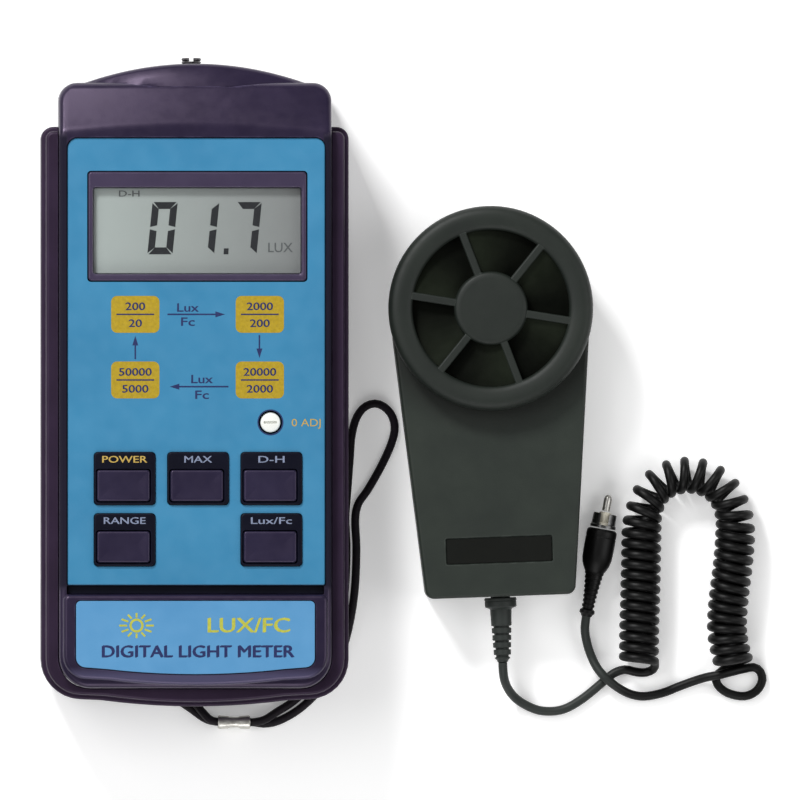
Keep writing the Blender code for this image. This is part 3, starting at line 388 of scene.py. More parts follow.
def helix_points():
    """Wire of the curly stretch: a left-handed helix round the coil's line, wider spaced over its arch."""
    line = flowing(COIL_ROUTE, 0.25)
    pace = [0.0]
    for start, end in zip(line, line[1:]):
        pitch = LEG_PITCH + (ARCH_PITCH - LEG_PITCH) * arch_share(start)
        pace.append(pace[-1] + (end - start).length / pitch)
    turns = math.floor(pace[-1]) + 0.75
    points = []
    steps = round(turns * 20)
    index = 0
    for step in range(steps + 1):
        turn = 2 * math.pi * turns * step / steps
        arch = arch_share(line[index])
        crowding = LEG_CROWDING + (ARCH_CROWDING - LEG_CROWDING) * arch
        goal = pace[-1] * (turn + crowding * math.sin(turn)) / (2 * math.pi * turns)
        goal = min(max(goal, 0), pace[-1])
        while index < len(line) - 2 and pace[index + 1] < goal:
            index += 1
        share = (goal - pace[index]) / (pace[index + 1] - pace[index])
        centre = line[index].lerp(line[index + 1], share)
        along = (line[index + 1] - line[index]).normalized()
        side = Vector((along.y, -along.x, 0))
        wire = COIL_RADIUS + (ARCH_RADIUS - COIL_RADIUS) * arch - CORD_RADIUS
        points.append(centre + wire * (math.cos(turn) * side + math.sin(turn) * Vector((0, 0, 1))))
    return points


def make_cord():
    route = list(PROBE_LEAD_ROUTE) + helix_points() + list(PLUG_LEAD_ROUTE)
    points = flowing(route, 1.1)
    nodes = ("probe_lead", "curly_cord", "plug_lead")
    return round_cord("probe_cord", points, CORD_RADIUS, "cord_run", "probe", nodes), points


def make_strap():
    points = flowing(STRAP_ROUTE, 1.2)
    return round_cord("strap_cord", points, STRAP_RADIUS, "strap", "meter",
                      ("wrist_strap",)), points


# ---------------------------------------------------------------- materials

LOOKS = {}


def colour(red, green, blue):
    """Linear colour from display values of 0 to 255."""
    parts = [value / 255 for value in (red, green, blue)]
    return (*[v / 12.92 if v <= 0.04045 else ((v + 0.055) / 1.055) ** 2.4 for v in parts], 1.0)


class Look:
    """A material and the nodes that its functions add to it."""

    def __init__(self, name):
        self.material = bpy.data.materials.new(name)
        self.material.use_nodes = True
        self.tree = self.material.node_tree
        self.shader = self.tree.nodes["Principled BSDF"]
        self.place = self.tree.nodes.new("ShaderNodeTexCoord").outputs["Object"]
        self.bump = self.tone = self.roughness = None
        LOOKS[name] = self.material

    def put(self, socket, value):
        """Give a socket a value or another node's output."""
        if isinstance(value, bpy.types.NodeSocket):
            self.tree.links.new(value, socket)
        else:
            socket.default_value = value

    def add(self, kind, settings=(), **inputs):
        """New node; an input is a value or another node's output."""
        made = self.tree.nodes.new(kind)
        for name, value in dict(settings).items():
            setattr(made, name, value)
        for name, value in inputs.items():
            self.put(made.inputs[name.replace("_", " ")], value)
        return made

    def noise(self, size, detail=3.0, roughness=0.55):
        """Noise whose features are about this many millimetres across."""
        texture = self.add("ShaderNodeTexNoise", Vector=self.place, Scale=1 / (size * MM), Detail=detail,
                           Roughness=roughness)
        return texture.outputs["Fac"]

    def between(self, factor, low, high, start=0.35, end=0.65):
        """Factor from start to end turned into a value from low to high."""
        made = self.add("ShaderNodeMapRange", Value=factor, From_Min=start, From_Max=end, To_Min=low,
                        To_Max=high)
        return made.outputs["Result"]

    def mix(self, factor, first, second):
        """Colour between two colours or outputs."""
        made = self.add("ShaderNodeMix", {"data_type": "RGBA"})
        for index, value in ((0, factor), (6, first), (7, second)):
            self.put(made.inputs[index], value)
        return made.outputs[2]

    def relief(self, height, depth, strength=1.0):
        """Add relief this many millimetres deep."""
        inputs = {"Height": height, "Distance": depth * MM, "Strength": strength}
        if self.bump:
            inputs["Normal"] = self.bump
        self.bump = self.add("ShaderNodeBump", **inputs).outputs["Normal"]
        self.tree.links.new(self.bump, self.shader.inputs["Normal"])

    def edges(self, radius, start=0.985, end=0.90):
        """Mask of the edges rounder than this many millimetres."""
        soft = self.add("ShaderNodeBevel", {"samples": 4}, Radius=radius * MM).outputs["Normal"]
        flat = self.add("ShaderNodeNewGeometry").outputs["Normal"]
        dot = self.add("ShaderNodeVectorMath", {"operation": "DOT_PRODUCT"})
        self.put(dot.inputs[0], soft)
        self.put(dot.inputs[1], flat)
        return self.between(dot.outputs["Value"], 0.0, 1.0, start, end)

    def number(self, operation, first, second):
        """Result of a sum on two numbers or outputs."""
        made = self.add("ShaderNodeMath", {"operation": operation})
        self.put(made.inputs[0], first)
        self.put(made.inputs[1], second)
        return made.outputs["Value"]

    def multiply(self, first, second):
        return self.number("MULTIPLY", first, second)

    def gloss(self, level):
        self.shader.inputs["Specular IOR Level"].default_value = level

    def base(self, tone):
        self.tone = tone
        self.put(self.shader.inputs["Base Color"], tone)

    def rough(self, roughness):
        self.roughness = roughness
        self.put(self.shader.inputs["Roughness"], roughness)


def moulded(name, dark, light, roughness, grain, depth, worn=None, gloss=0.5, tint=(1, 1, 1, 1)):
    """Textured moulding: fine grain, faint cloudy colour, and edges worn lighter."""
    look = Look(name)
    cloud = look.noise(14.0, 4.0)
    tone = look.mix(look.between(cloud, 0.0, 1.0), colour(*dark), colour(*light))
    rough = look.between(look.noise(3.0, 4.0), roughness - 0.03, roughness + 0.03)
    if worn:
        wear_and_highlight = look.multiply(look.edges(0.45), look.between(look.noise(2.2, 4.0), 0.1, 0.75, 0.4, 0.7))
        tone = look.mix(wear_and_highlight, tone, colour(*worn))
    look.base(tone)
    look.rough(rough)
    look.gloss(gloss)
    look.shader.inputs["Specular Tint"].default_value = tint
    look.relief(look.noise(grain, 2.0), depth, 0.6)
    return look


def printed(name, dark, light, roughness):
    """Printed plastic sheet: faint mottling, uneven gloss and fine grain."""
    look = Look(name)
    look.base(look.mix(look.between(look.noise(20.0, 3.0), 0.0, 1.0), colour(*dark), colour(*light)))
    look.rough(look.between(look.noise(5.0, 5.0), roughness - 0.05, roughness + 0.08))
    look.gloss(0.4)
    look.relief(look.noise(0.22, 2.0), 0.006, 0.5)
    return look


def ink(name, tone, gloss=0.5):
    """Screen-printed ink, a little uneven."""
    look = Look(name)
    look.gloss(gloss)
    faded = (*[0.82 * part for part in tone[:3]], 1.0)
    look.base(look.mix(look.between(look.noise(0.9, 3.0), 0.0, 1.0), faded, tone))
    look.rough(look.between(look.noise(0.5, 3.0), 0.38, 0.55))
    look.relief(look.noise(0.18, 2.0), 0.004, 0.5)
    return look


def plated(name, tone, roughness):
    """Metal with cloudy tarnish and a finely uneven surface."""
    look = Look(name)
    dull = (*[0.7 * part for part in tone[:3]], 1.0)
    look.base(look.mix(look.between(look.noise(1.8, 4.0), 0.0, 0.7), tone, dull))
    look.rough(look.between(look.noise(0.7, 5.0), roughness, roughness + 0.18))
    look.shader.inputs["Metallic"].default_value = 1.0
    look.relief(look.noise(0.35, 4.0), 0.003, 0.3)
    return look


VIOLET = (0.90, 0.72, 1.0, 1)        # tint of the casing's reflections
CASING = ((27, 22, 42), (34, 28, 49), 0.33, 0.30, 0.014, (84, 76, 104), 0.44, VIOLET)
PROBE_SHELL = ((29, 36, 31), (36, 43, 37), 0.56, 0.36, 0.030, (84, 91, 86), 0.35)
CORD = ((5, 5, 5), (9, 9, 9), 0.46, 0.80, 0.020, None, 0.22)


def make_looks():
    moulded("casing", *CASING)
    moulded("casing_light", (50, 44, 64), (58, 51, 72), 0.36, 0.30, 0.014, (96, 90, 112), 0.42, VIOLET)
    moulded("guard", (37, 26, 43), (44, 32, 51), 0.44, 0.40, 0.020, (76, 66, 86), 0.27, VIOLET)
    printed("panel_blue", (54, 122, 161), (59, 129, 168), 0.36)
    printed("label_blue", (81, 139, 184), (88, 146, 191), 0.34)
    moulded("key_black", (4, 5, 20), (8, 9, 26), 0.45, 0.30, 0.012, (30, 30, 54), 0.14)
    moulded("key_cap", (28, 25, 46), (35, 32, 54), 0.38, 0.28, 0.012, (88, 82, 104), 0.42, VIOLET)
    moulded("rubber", (24, 24, 26), (32, 32, 34), 0.72, 0.50, 0.030)
    moulded("board", (14, 84, 42), (22, 98, 52), 0.40, 0.60, 0.010)
    moulded("component", (26, 26, 27), (34, 34, 36), 0.50, 0.30, 0.010)
    moulded("white", (226, 228, 222), (240, 241, 236), 0.38, 0.35, 0.006)
    moulded("battery", (30, 31, 36), (40, 41, 47), 0.34, 0.50, 0.008, (120, 116, 100))
    moulded("probe", *PROBE_SHELL)
    moulded("probe_cap", (22, 28, 24), (28, 34, 29), 0.55, 0.36, 0.028, (84, 91, 86), 0.35)
    moulded("cord_grey", (42, 46, 44), (50, 54, 52), 0.50, 0.80, 0.020, None, 0.22)
    make_cord_look()
    make_probe_look()
    make_front_look()
    make_well_look()
    moulded("label_black", (8, 10, 7), (13, 15, 11), 0.62, 0.25, 0.012, None, 0.15)
    moulded("cord", *CORD)
    moulded("insulator", (214, 208, 188), (228, 223, 206), 0.36, 0.30, 0.006)
    plated("metal", colour(214, 212, 206), 0.30)
    plated("metal_dark", colour(96, 94, 96), 0.28)
    plated("steel", colour(112, 112, 112), 0.26)
    make_strap_look()
    make_window_look()
    make_filter_look()
    make_display_look()
    inks = {
        "ink_navy": (22, 34, 88),
        "ink_yellow": (172, 145, 16),
        "ink_gold": (190, 160, 78),
        "ink_pale": (128, 138, 164),
        "ink_lime": (184, 186, 66),
        "ink_word": (88, 92, 93),
    }
    for name, tone in inks.items():
        ink(name, colour(*tone))
    ink("ink_segment", colour(42, 43, 47), 0.16)


def make_strap_look():
    """Braided nylon cord."""
    look = moulded("strap", (14, 9, 15), (22, 15, 24), 0.62, 0.5, 0.01, None, 0.2)
    braid = look.add("ShaderNodeTexWave", {"wave_type": "BANDS", "bands_direction": "DIAGONAL"},
                     Vector=look.place, Scale=420.0, Distortion=1.5, Detail=1.0)
    look.relief(braid.outputs["Fac"], 0.10, 0.5)
    look.shader.inputs["Sheen Weight"].default_value = 0.05


def make_front_look():
    """Front of the casing: dark and dull beside the panel, and a painted highlight along its lower lip."""
    look = moulded("casing_front", *CASING)
    own = look.add("ShaderNodeMapping", Vector=look.place, Location=-METER).outputs["Vector"]
    place = look.add("ShaderNodeSeparateXYZ", Vector=own).outputs
    side = look.multiply(place["X"], place["X"])
    beside = look.between(side, 0.0, 1.0, ((PANEL_HALF - 0.4) * MM) ** 2, (PANEL_HALF * MM) ** 2)
    along = look.multiply(look.between(place["Y"], 0.0, 1.0, GROOVE_BOTTOM * MM, GROOVE_TOP * MM),
                          look.between(place["Y"], 1.0, 0.0, PANEL_TOP * MM, (PANEL_TOP + 2.0) * MM))
    border = look.multiply(look.multiply(beside, along), look.between(place["Z"], 0.0, 1.0, 0.0325, 0.0340))
    # Painted highlight: the name block's lower lip is lightened as if it caught the light.
    lip = look.multiply(look.between(place["Y"], 1.0, 0.0, (NAME_CORNER_Y - 2.4) * MM, NAME_CORNER_Y * MM),
                        look.between(place["Z"], 0.0, 1.0, 0.0350, 0.0358))
    wear_and_highlight = look.mix(lip, look.tone, colour(66, 64, 90))
    look.base(look.mix(border, wear_and_highlight, colour(4, 8, 24)))
    look.rough(look.number("MAXIMUM", look.roughness, look.between(border, 0.0, 0.9, 0.0, 1.0)))


def make_probe_look():
    """Probe's front shell, with a painted shadow that darkens it close to the rim of its cap."""
    look = moulded("probe_front", *PROBE_SHELL)
    reach = 34 * MM
    near = look.add("ShaderNodeMapping", Vector=look.place, Scale=(1 / reach, 1 / reach, 0),
                    Location=(-PROBE.x / reach, -PROBE.y / reach, 0)).outputs["Vector"]
    closeness = look.add("ShaderNodeTexGradient", {"gradient_type": "SPHERICAL"},
                         Vector=near).outputs["Fac"]
    # Painted shadow round the cap: the shell turns near black close to the cap's rim.
    look.base(look.mix(look.between(closeness, 0.0, 0.75, 0.03, 0.20), look.tone, colour(10, 14, 9)))


def make_cord_look():
    """Black cord that is greyer where its straight leads lie towards the probe, and darker as painted shade
    over its curly part, whose turns shade each other.
    """
    look = moulded("cord_run", *CORD)
    across = look.add("ShaderNodeSeparateXYZ", Vector=look.place).outputs["X"]
    # Painted shade: the curly part keeps the darker tone, and the straight leads are lightened to grey.
    unshaded_lead = look.between(across, 1.0, 0.0, METER.x + 104 * MM, METER.x + 111 * MM)
    look.base(look.mix(unshaded_lead, look.tone, colour(46, 50, 48)))


def make_well_look():
    """Floors of the cap's wells: painted shade, darkest at their deep ends."""
    look = Look("well")
    height = look.add("ShaderNodeSeparateXYZ", Vector=look.place).outputs["Z"]
    # Painted shade: the floor darkens towards its deep end beside a spoke.
    rise = look.between(height, 0.0, 1.0, (CAP_FLOOR + 0.3) * MM, (CAP_FLOOR + 2.3) * MM)
    grime = look.between(look.noise(5.0, 4.0), 0.0, 1.0)
    dark = look.mix(grime, colour(2, 4, 1), colour(6, 8, 4))
    light = look.mix(grime, colour(23, 28, 19), colour(29, 34, 25))
    look.base(look.mix(rise, dark, light))
    look.rough(look.between(look.noise(3.0, 4.0), 0.58, 0.68))
    look.gloss(0.06)
    look.relief(look.noise(0.36, 2.0), 0.028, 0.6)


def make_window_look():
    """Clear sheet, nearly all of which lets light through."""
    look = Look("window")
    look.base(colour(70, 76, 72))
    look.rough(look.between(look.noise(4.0, 4.0), 0.05, 0.12))
    look.shader.inputs["Alpha"].default_value = 0.04


def make_filter_look():
    """Green absorbing glass."""
    look = Look("filter")
    look.base(look.mix(look.between(look.noise(6.0), 0.0, 1.0), colour(70, 128, 82), colour(84, 142, 94)))
    look.rough(look.between(look.noise(2.0), 0.08, 0.16))
    look.shader.inputs["Coat Weight"].default_value = 0.6


def make_display_look():
    """Liquid crystal cell: greenish grey, with painted shade that darkens it across its width."""
    look = Look("display")
    across = look.add("ShaderNodeSeparateXYZ", Vector=look.place).outputs["X"]
    low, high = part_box("display_glass")
    # Painted shade: the cell darkens from its left end to its right end.
    shade = look.between(across, 0.0, 1.0, low.x, high.x)
    pearl = look.mix(look.between(look.noise(0.35, 2.0), 0.0, 0.5), colour(167, 176, 173),
                     colour(157, 166, 163))
    look.base(look.mix(shade, pearl, colour(127, 130, 130)))
    look.rough(look.between(look.noise(3.0), 0.30, 0.40))
    look.relief(look.noise(0.25, 2.0), 0.004, 0.4)


def dress_nodes():
    """Each CAD node that stays takes the material of its own slot."""
    slots = {part["node"]: part["material_slot"] for part in frame["record"]["subparts"]}
    for name, node in frame["nodes"].items():
        for place in node.material_slots:
            place.material = LOOKS[slots[name]]


# ---------------------------------------------------------------- meter: casing and guard

def two_ended(left, low, right, top, top_radius, low_radius, steps=7):
    """Outline of a box with one radius at its top corners and one at its lower corners."""
    def outline(inset):
        x0, y0, x1, y1 = left + inset, low + inset, right - inset, top - inset
        upper, lower = top_radius - inset, low_radius - inset
        return rounded([(x1, y1, upper), (x0, y1, upper), (x0, y0, lower), (x1, y0, lower)], steps)
    return outline


def case_hollow(top):
    """Outline of the space inside the walls, up to a given y."""
    half = CASE_HALF - CASE_WALL
    return two_ended(-half, CASE_BOTTOM + CASE_WALL, half, top, 2.0, 6.0)


def slope_drop(x, y):
    """How far the sloped end of the front lies under the flat front; its lower border is an arch."""
    border = SLOPE_START - 1.9 * (x / PANEL_HALF) ** 2
    past = y - border
    blend = 0.9
    soft = past if past > blend else max(past + blend, 0) ** 2 / (4 * blend)
    crown = 0.10 * soft * (x / CASE_HALF) ** 2
    return soft * SLOPE_DROP / (SLOPE_END - SLOPE_START) + crown


def bow(half, corner_y, sag, steps=12):
    """Points of an edge that bows out by sag, from left to right."""
    across = [half * (2 * i / steps - 1) for i in range(1, steps)]
    return [(x, corner_y - sag * (1 - (x / half) ** 2), 0) for x in across]


def end_dome(low, levels, grown=0.0, crown=1.5):
    """Shallow crowned end beyond the sloped front; levels are (inset, height) over the middle."""
    half, bulge, root = 28.1 + grown, 4.9 + grown, CASE_TOP - 1.1 - grown
    rings = []
    for inset, height in [(0.0, low)] + levels:
        ring = []
        for i in range(31):
            x = half * (1 - i / 15)
            end = CASE_TOP + bulge * (1 - (x / half) ** 2) - inset
            drop = crown * (x / half) ** 2 if height > low + 1 else 0.0
            ring.append((x, max(end, root + 0.2), height - drop))
        ring.append((-half, root, ring[-1][2]))
        ring.append((half, root, ring[0][2]))
        rings.append(ring)
    return skin(rings)


def bore(radius, reach, sides, x, y, z):
    """Round hole along Y, to either side of a point."""
    return moved(prism(disc(0, 0, radius, sides), -reach, reach), shift(x, y, z) @ ALONG_Y)


def socket_bore():
    return bore(2.75, 14, 32, SOCKET_X, CASE_TOP + 2, SPLIT_Z)


def key_places():
    """Name, column and row of each push key."""
    names = ("power", "max", "hold"), ("range", None, "unit")
    for row, row_names in zip(KEY_ROWS, names):
        for column, name in zip(KEY_COLUMNS, row_names):
            if name:
                yield name, column, row


def sloped_front():
    """Front shell's outer body with its far end sloping down."""
    shell = slab(CASE_OUTLINE, SPLIT_Z + PARTING, FRONT_Z, 1.4, 5)
    lines = [((0, y, 0), (0, 1, 0)) for y in [62.5 + 0.5 * i for i in range(12)] + [70.0, 72.0, 74.0, 75.4]]
    lines += [((x, 0, 0), (1, 0, 0)) for x in range(-32, 33, 4)]
    for point, normal in lines:
        near = [face for face in shell.faces if max(vert.co.y for vert in face.verts) > 62.0]
        cells = near + list({edge for face in near for edge in face.edges})
        cells += list({vert for face in near for vert in face.verts})
        bmesh.ops.bisect_plane(shell, geom=cells, plane_co=point, plane_no=normal)
    for vert in shell.verts:
        if vert.co.z > 30:
            vert.co.z -= slope_drop(vert.co.x, vert.co.y)
    return shell


def bowed(half, top, corner_y, top_radius, low_radius, sag, margin):
    """Outline of a box whose lower edge bows out by sag, between margins at its corners."""
    def outline(inset):
        x, y, lower = half - inset, corner_y + inset, low_radius - inset
        upper = [(side, top - inset, top_radius - inset) for side in (x, -x)]
        return rounded(upper + [(-x, y, lower)] + bow(x - margin, y, sag) + [(x, y, lower)])
    return outline


CASE_OUTLINE = two_ended(-CASE_HALF, CASE_BOTTOM, CASE_HALF, CASE_TOP, 4.6, 8.0, 9)
PANEL_OUTLINE = two_ended(PANEL_SHIFT - PANEL_HALF, PANEL_BOTTOM, PANEL_SHIFT + PANEL_HALF, PANEL_TOP,
                          2.5, 0.4)
NAME_BLOCK = bowed(33.7, GROOVE_BOTTOM, -74.6, 1.6, 6.0, 1.9, 7.0)
NAME_OUTLINE = bowed(NAME_HALF, NAME_TOP, NAME_CORNER_Y, 1.2, 2.5, NAME_SAG, 3.0)


def groove(play):
    """Outline of the groove between the two panels, with play at its ends and half as much at its sides."""
    width, height = 2 * (PANEL_HALF - play), GROOVE_TOP - GROOVE_BOTTOM - play
    return centred(width, height, 0, (GROOVE_TOP + GROOVE_BOTTOM) / 2, 0.3)


def make_front_case():
    shell = sloped_front()
    block = slab(NAME_BLOCK, 33.0, 36.0, 1.1)
    levels = [(0.0, 26.6), (0.3, 27.4), (1.0, 28.0), (2.6, 28.8), (4.2, 29.5), (5.8, 30.1)]
    seam = end_dome(25.0, [(inset, height + 0.5) for inset, height in levels], 0.45)
    x0, y0, x1, y1 = DISPLAY
    low, high = 26.0, 40.0
    cuts = [
        prism(case_hollow(SLOPE_START - 1.0), SPLIT_Z - 2, 31.4),
        prism(case_hollow(CASE_TOP - CASE_WALL), SPLIT_Z - 2, 26.5),
        prism(groove(0), FRONT_Z - 2.9, high),
        solid(PANEL_OUTLINE, [(-0.25, PANEL_Z - 0.75), (-0.25, high)]),
        solid(NAME_OUTLINE, [(-0.25, NAME_Z - 0.7), (-0.25, high)]),
        prism(box_outline(x0 - 0.3, y0 - 0.3, x1 + 0.3, y1 + 0.3, 1.0), low, high),
        prism(disc(*ZERO_AT, ZERO_HOLE), low, high),
        socket_bore(),
        seam,
    ]
    for _, x, y in key_places():
        cuts.append(prism(centred(KEY_RIM[0] + 0.2, KEY_RIM[1] + 0.2, x, y, 1.1), low, high))
    show("front_shell", carved(shell, cuts, [block]), "casing_front", "front_case")
    dome = carved(end_dome(SPLIT_Z + PARTING, levels),
                  [socket_bore(), prism(case_hollow(CASE_TOP - CASE_WALL), 0, 26.5)])
    show("end_dome", dome, "casing")


def make_rear_case():
    shell = solid(CASE_OUTLINE, soft_bottom(REAR_Z, 1.6, 5) + [(0, SPLIT_Z - PARTING)])
    dome = end_dome(7.0, [(0.0, SPLIT_Z - PARTING)], 0.0, 0.0)
    high = SPLIT_Z + 2
    cuts = [
        prism(case_hollow(CASE_TOP - CASE_WALL), REAR_Z + 2.6, high),
        prism(box_outline(-15.5, -74.7, 15.5, -11.7, 1.3), REAR_Z - 2, REAR_Z + 1.6),
        prism(centred(28.1, 50.1, 0, -41.5, 1.0), REAR_Z - 2, REAR_Z + 4),
        prism(disc(-21.2, -68.3, 1.6), REAR_Z - 2, REAR_Z + 1.4),
        socket_bore(),
    ]
    for x, y in SCREW_AT:
        cuts.append(prism(disc(x, y, 3.1, 32), REAR_Z - 1, REAR_Z + 2.4))
    for x, y in FOOT_AT:
        cuts.append(prism(disc(x, y, 4.4, 32), REAR_Z - 2, REAR_Z + 0.9))
    show("rear_shell", carved(shell, cuts, [dome]), "casing", "rear_case")


def guard_outline(outer_inset, inner_inset):
    """U-shaped outline of the guard frame, open at the meter's top end."""
    outer, corner_y = GUARD_HALF - outer_inset, GUARD_CORNER_Y + outer_inset
    top = GUARD_TOP - outer_inset
    inner = CASE_HALF + 0.12 + inner_inset
    bottom = CASE_BOTTOM - 0.12 - inner_inset
    corner, concave = GUARD_RADIUS - outer_inset, 8.1 + inner_inset
    shoulder = max(min(3.1 - outer_inset, outer - inner - 0.4), 0.1)
    left = [(-inner, top, 0.3), (-outer, top, shoulder), (-outer, corner_y, corner)]
    right = [(outer, corner_y, corner), (outer, top, shoulder), (inner, top, 0.3)]
    inside = [(inner, bottom, concave), (-inner, bottom, concave)]
    return rounded(left + bow(outer - 10.5, corner_y, GUARD_SAG) + right + inside, 8)


def make_guard():
    rings = [(inset, 0.0, z) for inset, z in soft_bottom(GUARD_LOW, 0.9)]
    rings += [(inset, 0.0, z) for inset, z in soft_top(GUARD_STEP_Z, 0.6)]
    rings += [(GUARD_STEP - 0.25, 0.0, GUARD_STEP_Z), (GUARD_STEP, 0.0, GUARD_STEP_Z + 0.25)]
    rings += [(GUARD_STEP + inset, 0.2 * inset, z) for inset, z in soft_top(GUARD_HIGH, 0.8)]
    shell = skin([[(p.x, p.y, z) for p in guard_outline(out, inn)] for out, inn, z in rings])
    show("guard", shell, "guard", "guard_frame")


# ---------------------------------------------------------------- meter: front panel, display and keys

def make_panels():
    x0, y0, x1, y1 = DISPLAY
    holes = [prism(box_outline(x0 - 0.25, y0 - 0.25, x1 + 0.25, y1 + 0.25, 1.0), 30, 40),
             prism(disc(*ZERO_AT, ZERO_HOLE), 30, 40)]
    for _, x, y in key_places():
        holes.append(prism(centred(KEY_RIM[0] + 0.15, KEY_RIM[1] + 0.15, x, y, 1.1), 30, 40))
    sheet = slab(PANEL_OUTLINE, PANEL_Z - 0.5, PANEL_Z, 0.35, 3)
    show("panel_sheet", carved(sheet, holes), "panel_blue", "face_panel")
    plate = slab(NAME_OUTLINE, NAME_Z - 0.4, NAME_Z, 0.15, 2)
    show("name_sheet", plate, "label_blue", "name_panel")
    # A dark strip on the groove's floor is painted shade that makes the groove read dark.
    strip = groove(0.2)
    show("groove_strip", slab(strip, FRONT_Z - 3.1, FRONT_Z - 2.2, 0.2, 2), "key_black")


def make_display():
    inner = box_outline(*DISPLAY_WINDOW, 0.6)
    rim = frame_solid(box_outline(*DISPLAY, 0.9), inner, [(0, 31.0)] + soft_top(34.4, 0.5),
                      [(-0.55, 34.4), (-0.30, 34.25), (0.0, 33.6), (0.0, 31.0)])
    show("display_rim", rim, "casing_light", "display_bezel")
    x0, y0, x1, y1 = DISPLAY_WINDOW
    cell = box_outline(x0 + 0.1, y0 + 0.1, x1 - 0.1, y1 - 0.1, 0.5)
    cover = slab(cell, WINDOW_Z - WINDOW_THICK, WINDOW_Z, 0.1, 2)
    show("window_sheet", cover, "window", "display_window")
    crystal = prism(cell, DISPLAY_GLASS_Z - CELL_THICK, DISPLAY_GLASS_Z)
    show("crystal_cell", crystal, "display", "display_glass")


def make_keys():
    frames = []
    for name, x, y in key_places():
        cap_x, cap_y = x + KEY_SHIFT, y - KEY_CAP_DROP
        outer = centred(*KEY_RIM, x, y, 1.2)
        inner = centred(KEY_TOP_SIZE[0] + 0.4, KEY_TOP_SIZE[1] + 0.4, cap_x, cap_y, 0.7)
        frames.append(frame_solid(outer, inner, [(0, 30.4)] + soft_top(KEY_FRAME_Z, 0.35),
                                  [(-0.12, KEY_FRAME_Z), (0.0, KEY_FRAME_Z - 0.15), (0.0, 30.4)]))
        dish = [(0, KEY_TOP_Z - 6.0)] + soft_top(KEY_TOP_Z, 0.55)
        dish += [(1.1, KEY_TOP_Z - 0.03), (2.2, KEY_TOP_Z - 0.12), (3.4, KEY_TOP_Z - 0.16)]
        node = name + "_key"
        show(name + "_cap", solid(centred(*KEY_TOP_SIZE, cap_x, cap_y, 0.75), dish), "key_cap", node, node)
    show("key_frames", merged(*frames), "key_black", "key_bezel")


def make_zero_adjuster():
    low = 30.6
    rotor = lathe([(0, low), (2.6, low), (2.6, low + 2.7), (2.5, low + 3.0), (2.2, low + 3.2),
                   (0, low + 3.3)])
    slot = prism(centred(3.4, 0.6, 0, 0, 0.1), low + 2.6, low + 5)
    place = shift(*ZERO_AT, 0)
    show("zero_screw", moved(carved(rotor, [slot]), place), "white", "zero_rotor", "zero_adjust")


# ---------------------------------------------------------------- prints

PRINT_THICK = 0.03


def thin(points, z):
    """Thin flat body over an outline."""
    return skin([[(x, y, level) for x, y in points] for level in (z, z + PRINT_THICK)])


def print_ring(x, y, outer, inner, z):
    """Thin flat ring."""
    high = z + PRINT_THICK
    return frame_solid(disc(x, y, outer), disc(x, y, inner), [(0, z), (0, high)], [(0, high), (0, z)])


def bar(x0, y0, x1, y1, width, z):
    """Thin straight line of print."""
    along = Vector((x1 - x0, y1 - y0)).normalized() * width / 2
    across = Vector((-along.y, along.x))
    ends = Vector((x0, y0)), Vector((x1, y1))
    return thin([ends[0] - across, ends[1] - across, ends[1] + across, ends[0] + across], z)


def letters(words, x, y, height, z, width=None, weight=0.0):
    """Words in the built-in face, centred, with capitals of the given height; weight widens the strokes."""
    curve = bpy.data.curves.new("letters", "FONT")
    curve.body = words
    curve.extrude = 0.5
    curve.resolution_u = 3
    writing = placed("letters", curve)
    graph = bpy.context.evaluated_depsgraph_get()
    mesh = bpy.data.meshes.new_from_object(writing.evaluated_get(graph), depsgraph=graph)
    bpy.data.objects.remove(writing)
    bpy.data.curves.remove(curve)
    across = [vert.co.x for vert in mesh.vertices]
    scale = height / 0.72
    stretch = width / (max(across) - min(across)) if width else scale
    centring = shift(-(max(across) + min(across)) / 2, -0.36, 0.5)
    place = shift(x, y, z) @ Matrix.Diagonal((stretch, scale, 0.03, 1)) @ centring
    copies = []
    for side in (-1, 1) if weight else (0,):
        shell = bmesh.new()
        shell.from_mesh(mesh)
        bmesh.ops.remove_doubles(shell, verts=shell.verts, dist=0.0002)
        nudge = shift(side * weight, side * weight / 2, 0.004 * side)
        copies.append(moved(shell, nudge @ place))
    bpy.data.meshes.remove(mesh)
    return merged(*copies)


def arrow(x0, y0, x1, y1, z):
    """Thin arrow from one point to another."""
    end, start = Vector((x1, y1)), Vector((x0, y0))
    along = (end - start).normalized()
    across = Vector((-along.y, along.x))
    neck = end - along * 2.4
    head = thin([neck - across * 0.75, end, neck + across * 0.75], z)
    return merged(bar(x0, y0, neck.x, neck.y, 0.38, z), head)


RANGES = (((-15.3, 18.0), "200", "20"), ((16.4, 18.0), "2000", "200"),
          ((-15.3, 1.3), "50000", "5000"), ((16.4, 1.3), "20000", "2000"))


def make_panel_prints():
    z = PANEL_Z + 0.01
    over = z + PRINT_THICK + 0.005
    boxes, marks = [], []
    for (x, y), upper, lower in RANGES:
        boxes.append(prism(centred(12.3, 9.4, x, y, 1.5), z, z + PRINT_THICK))
        marks.append(bar(x - 4.8, y, x + 4.8, y, 0.35, over))
        for words, rise in ((upper, 2.1), (lower, -2.2)):
            marks.append(letters(words, x, y + rise, 2.0, over, 1.65 * len(words), 0.06))
    show("range_boxes", merged(*boxes), "ink_yellow")
    marks += [arrow(-7.1, 18.0, 7.5, 18.0, z), arrow(16.3, 12.7, 16.3, 6.9, z),
              arrow(8.4, -0.4, -6.5, -0.4, z),
              arrow(-15.3, 6.6, -15.3, 12.5, z)]
    marks += [letters("Lux", -1.9, 19.8, 2.2, z, 5.4, 0.05), letters("Fc", -1.9, 16.2, 2.2, z, 3.4, 0.05),
              letters("Lux", 1.7, 1.6, 2.2, z, 5.4, 0.05), letters("Fc", 1.7, -2.4, 2.2, z, 3.4, 0.05)]
    ring = print_ring(*ZERO_AT, 3.3, 3.02, z)
    show("panel_marks", merged(*marks, ring), "ink_navy")
    show("zero_words", letters("0 ADJ", 28.2, ZERO_AT[1], 2.0, z, 7.4, 0.0), "ink_gold")


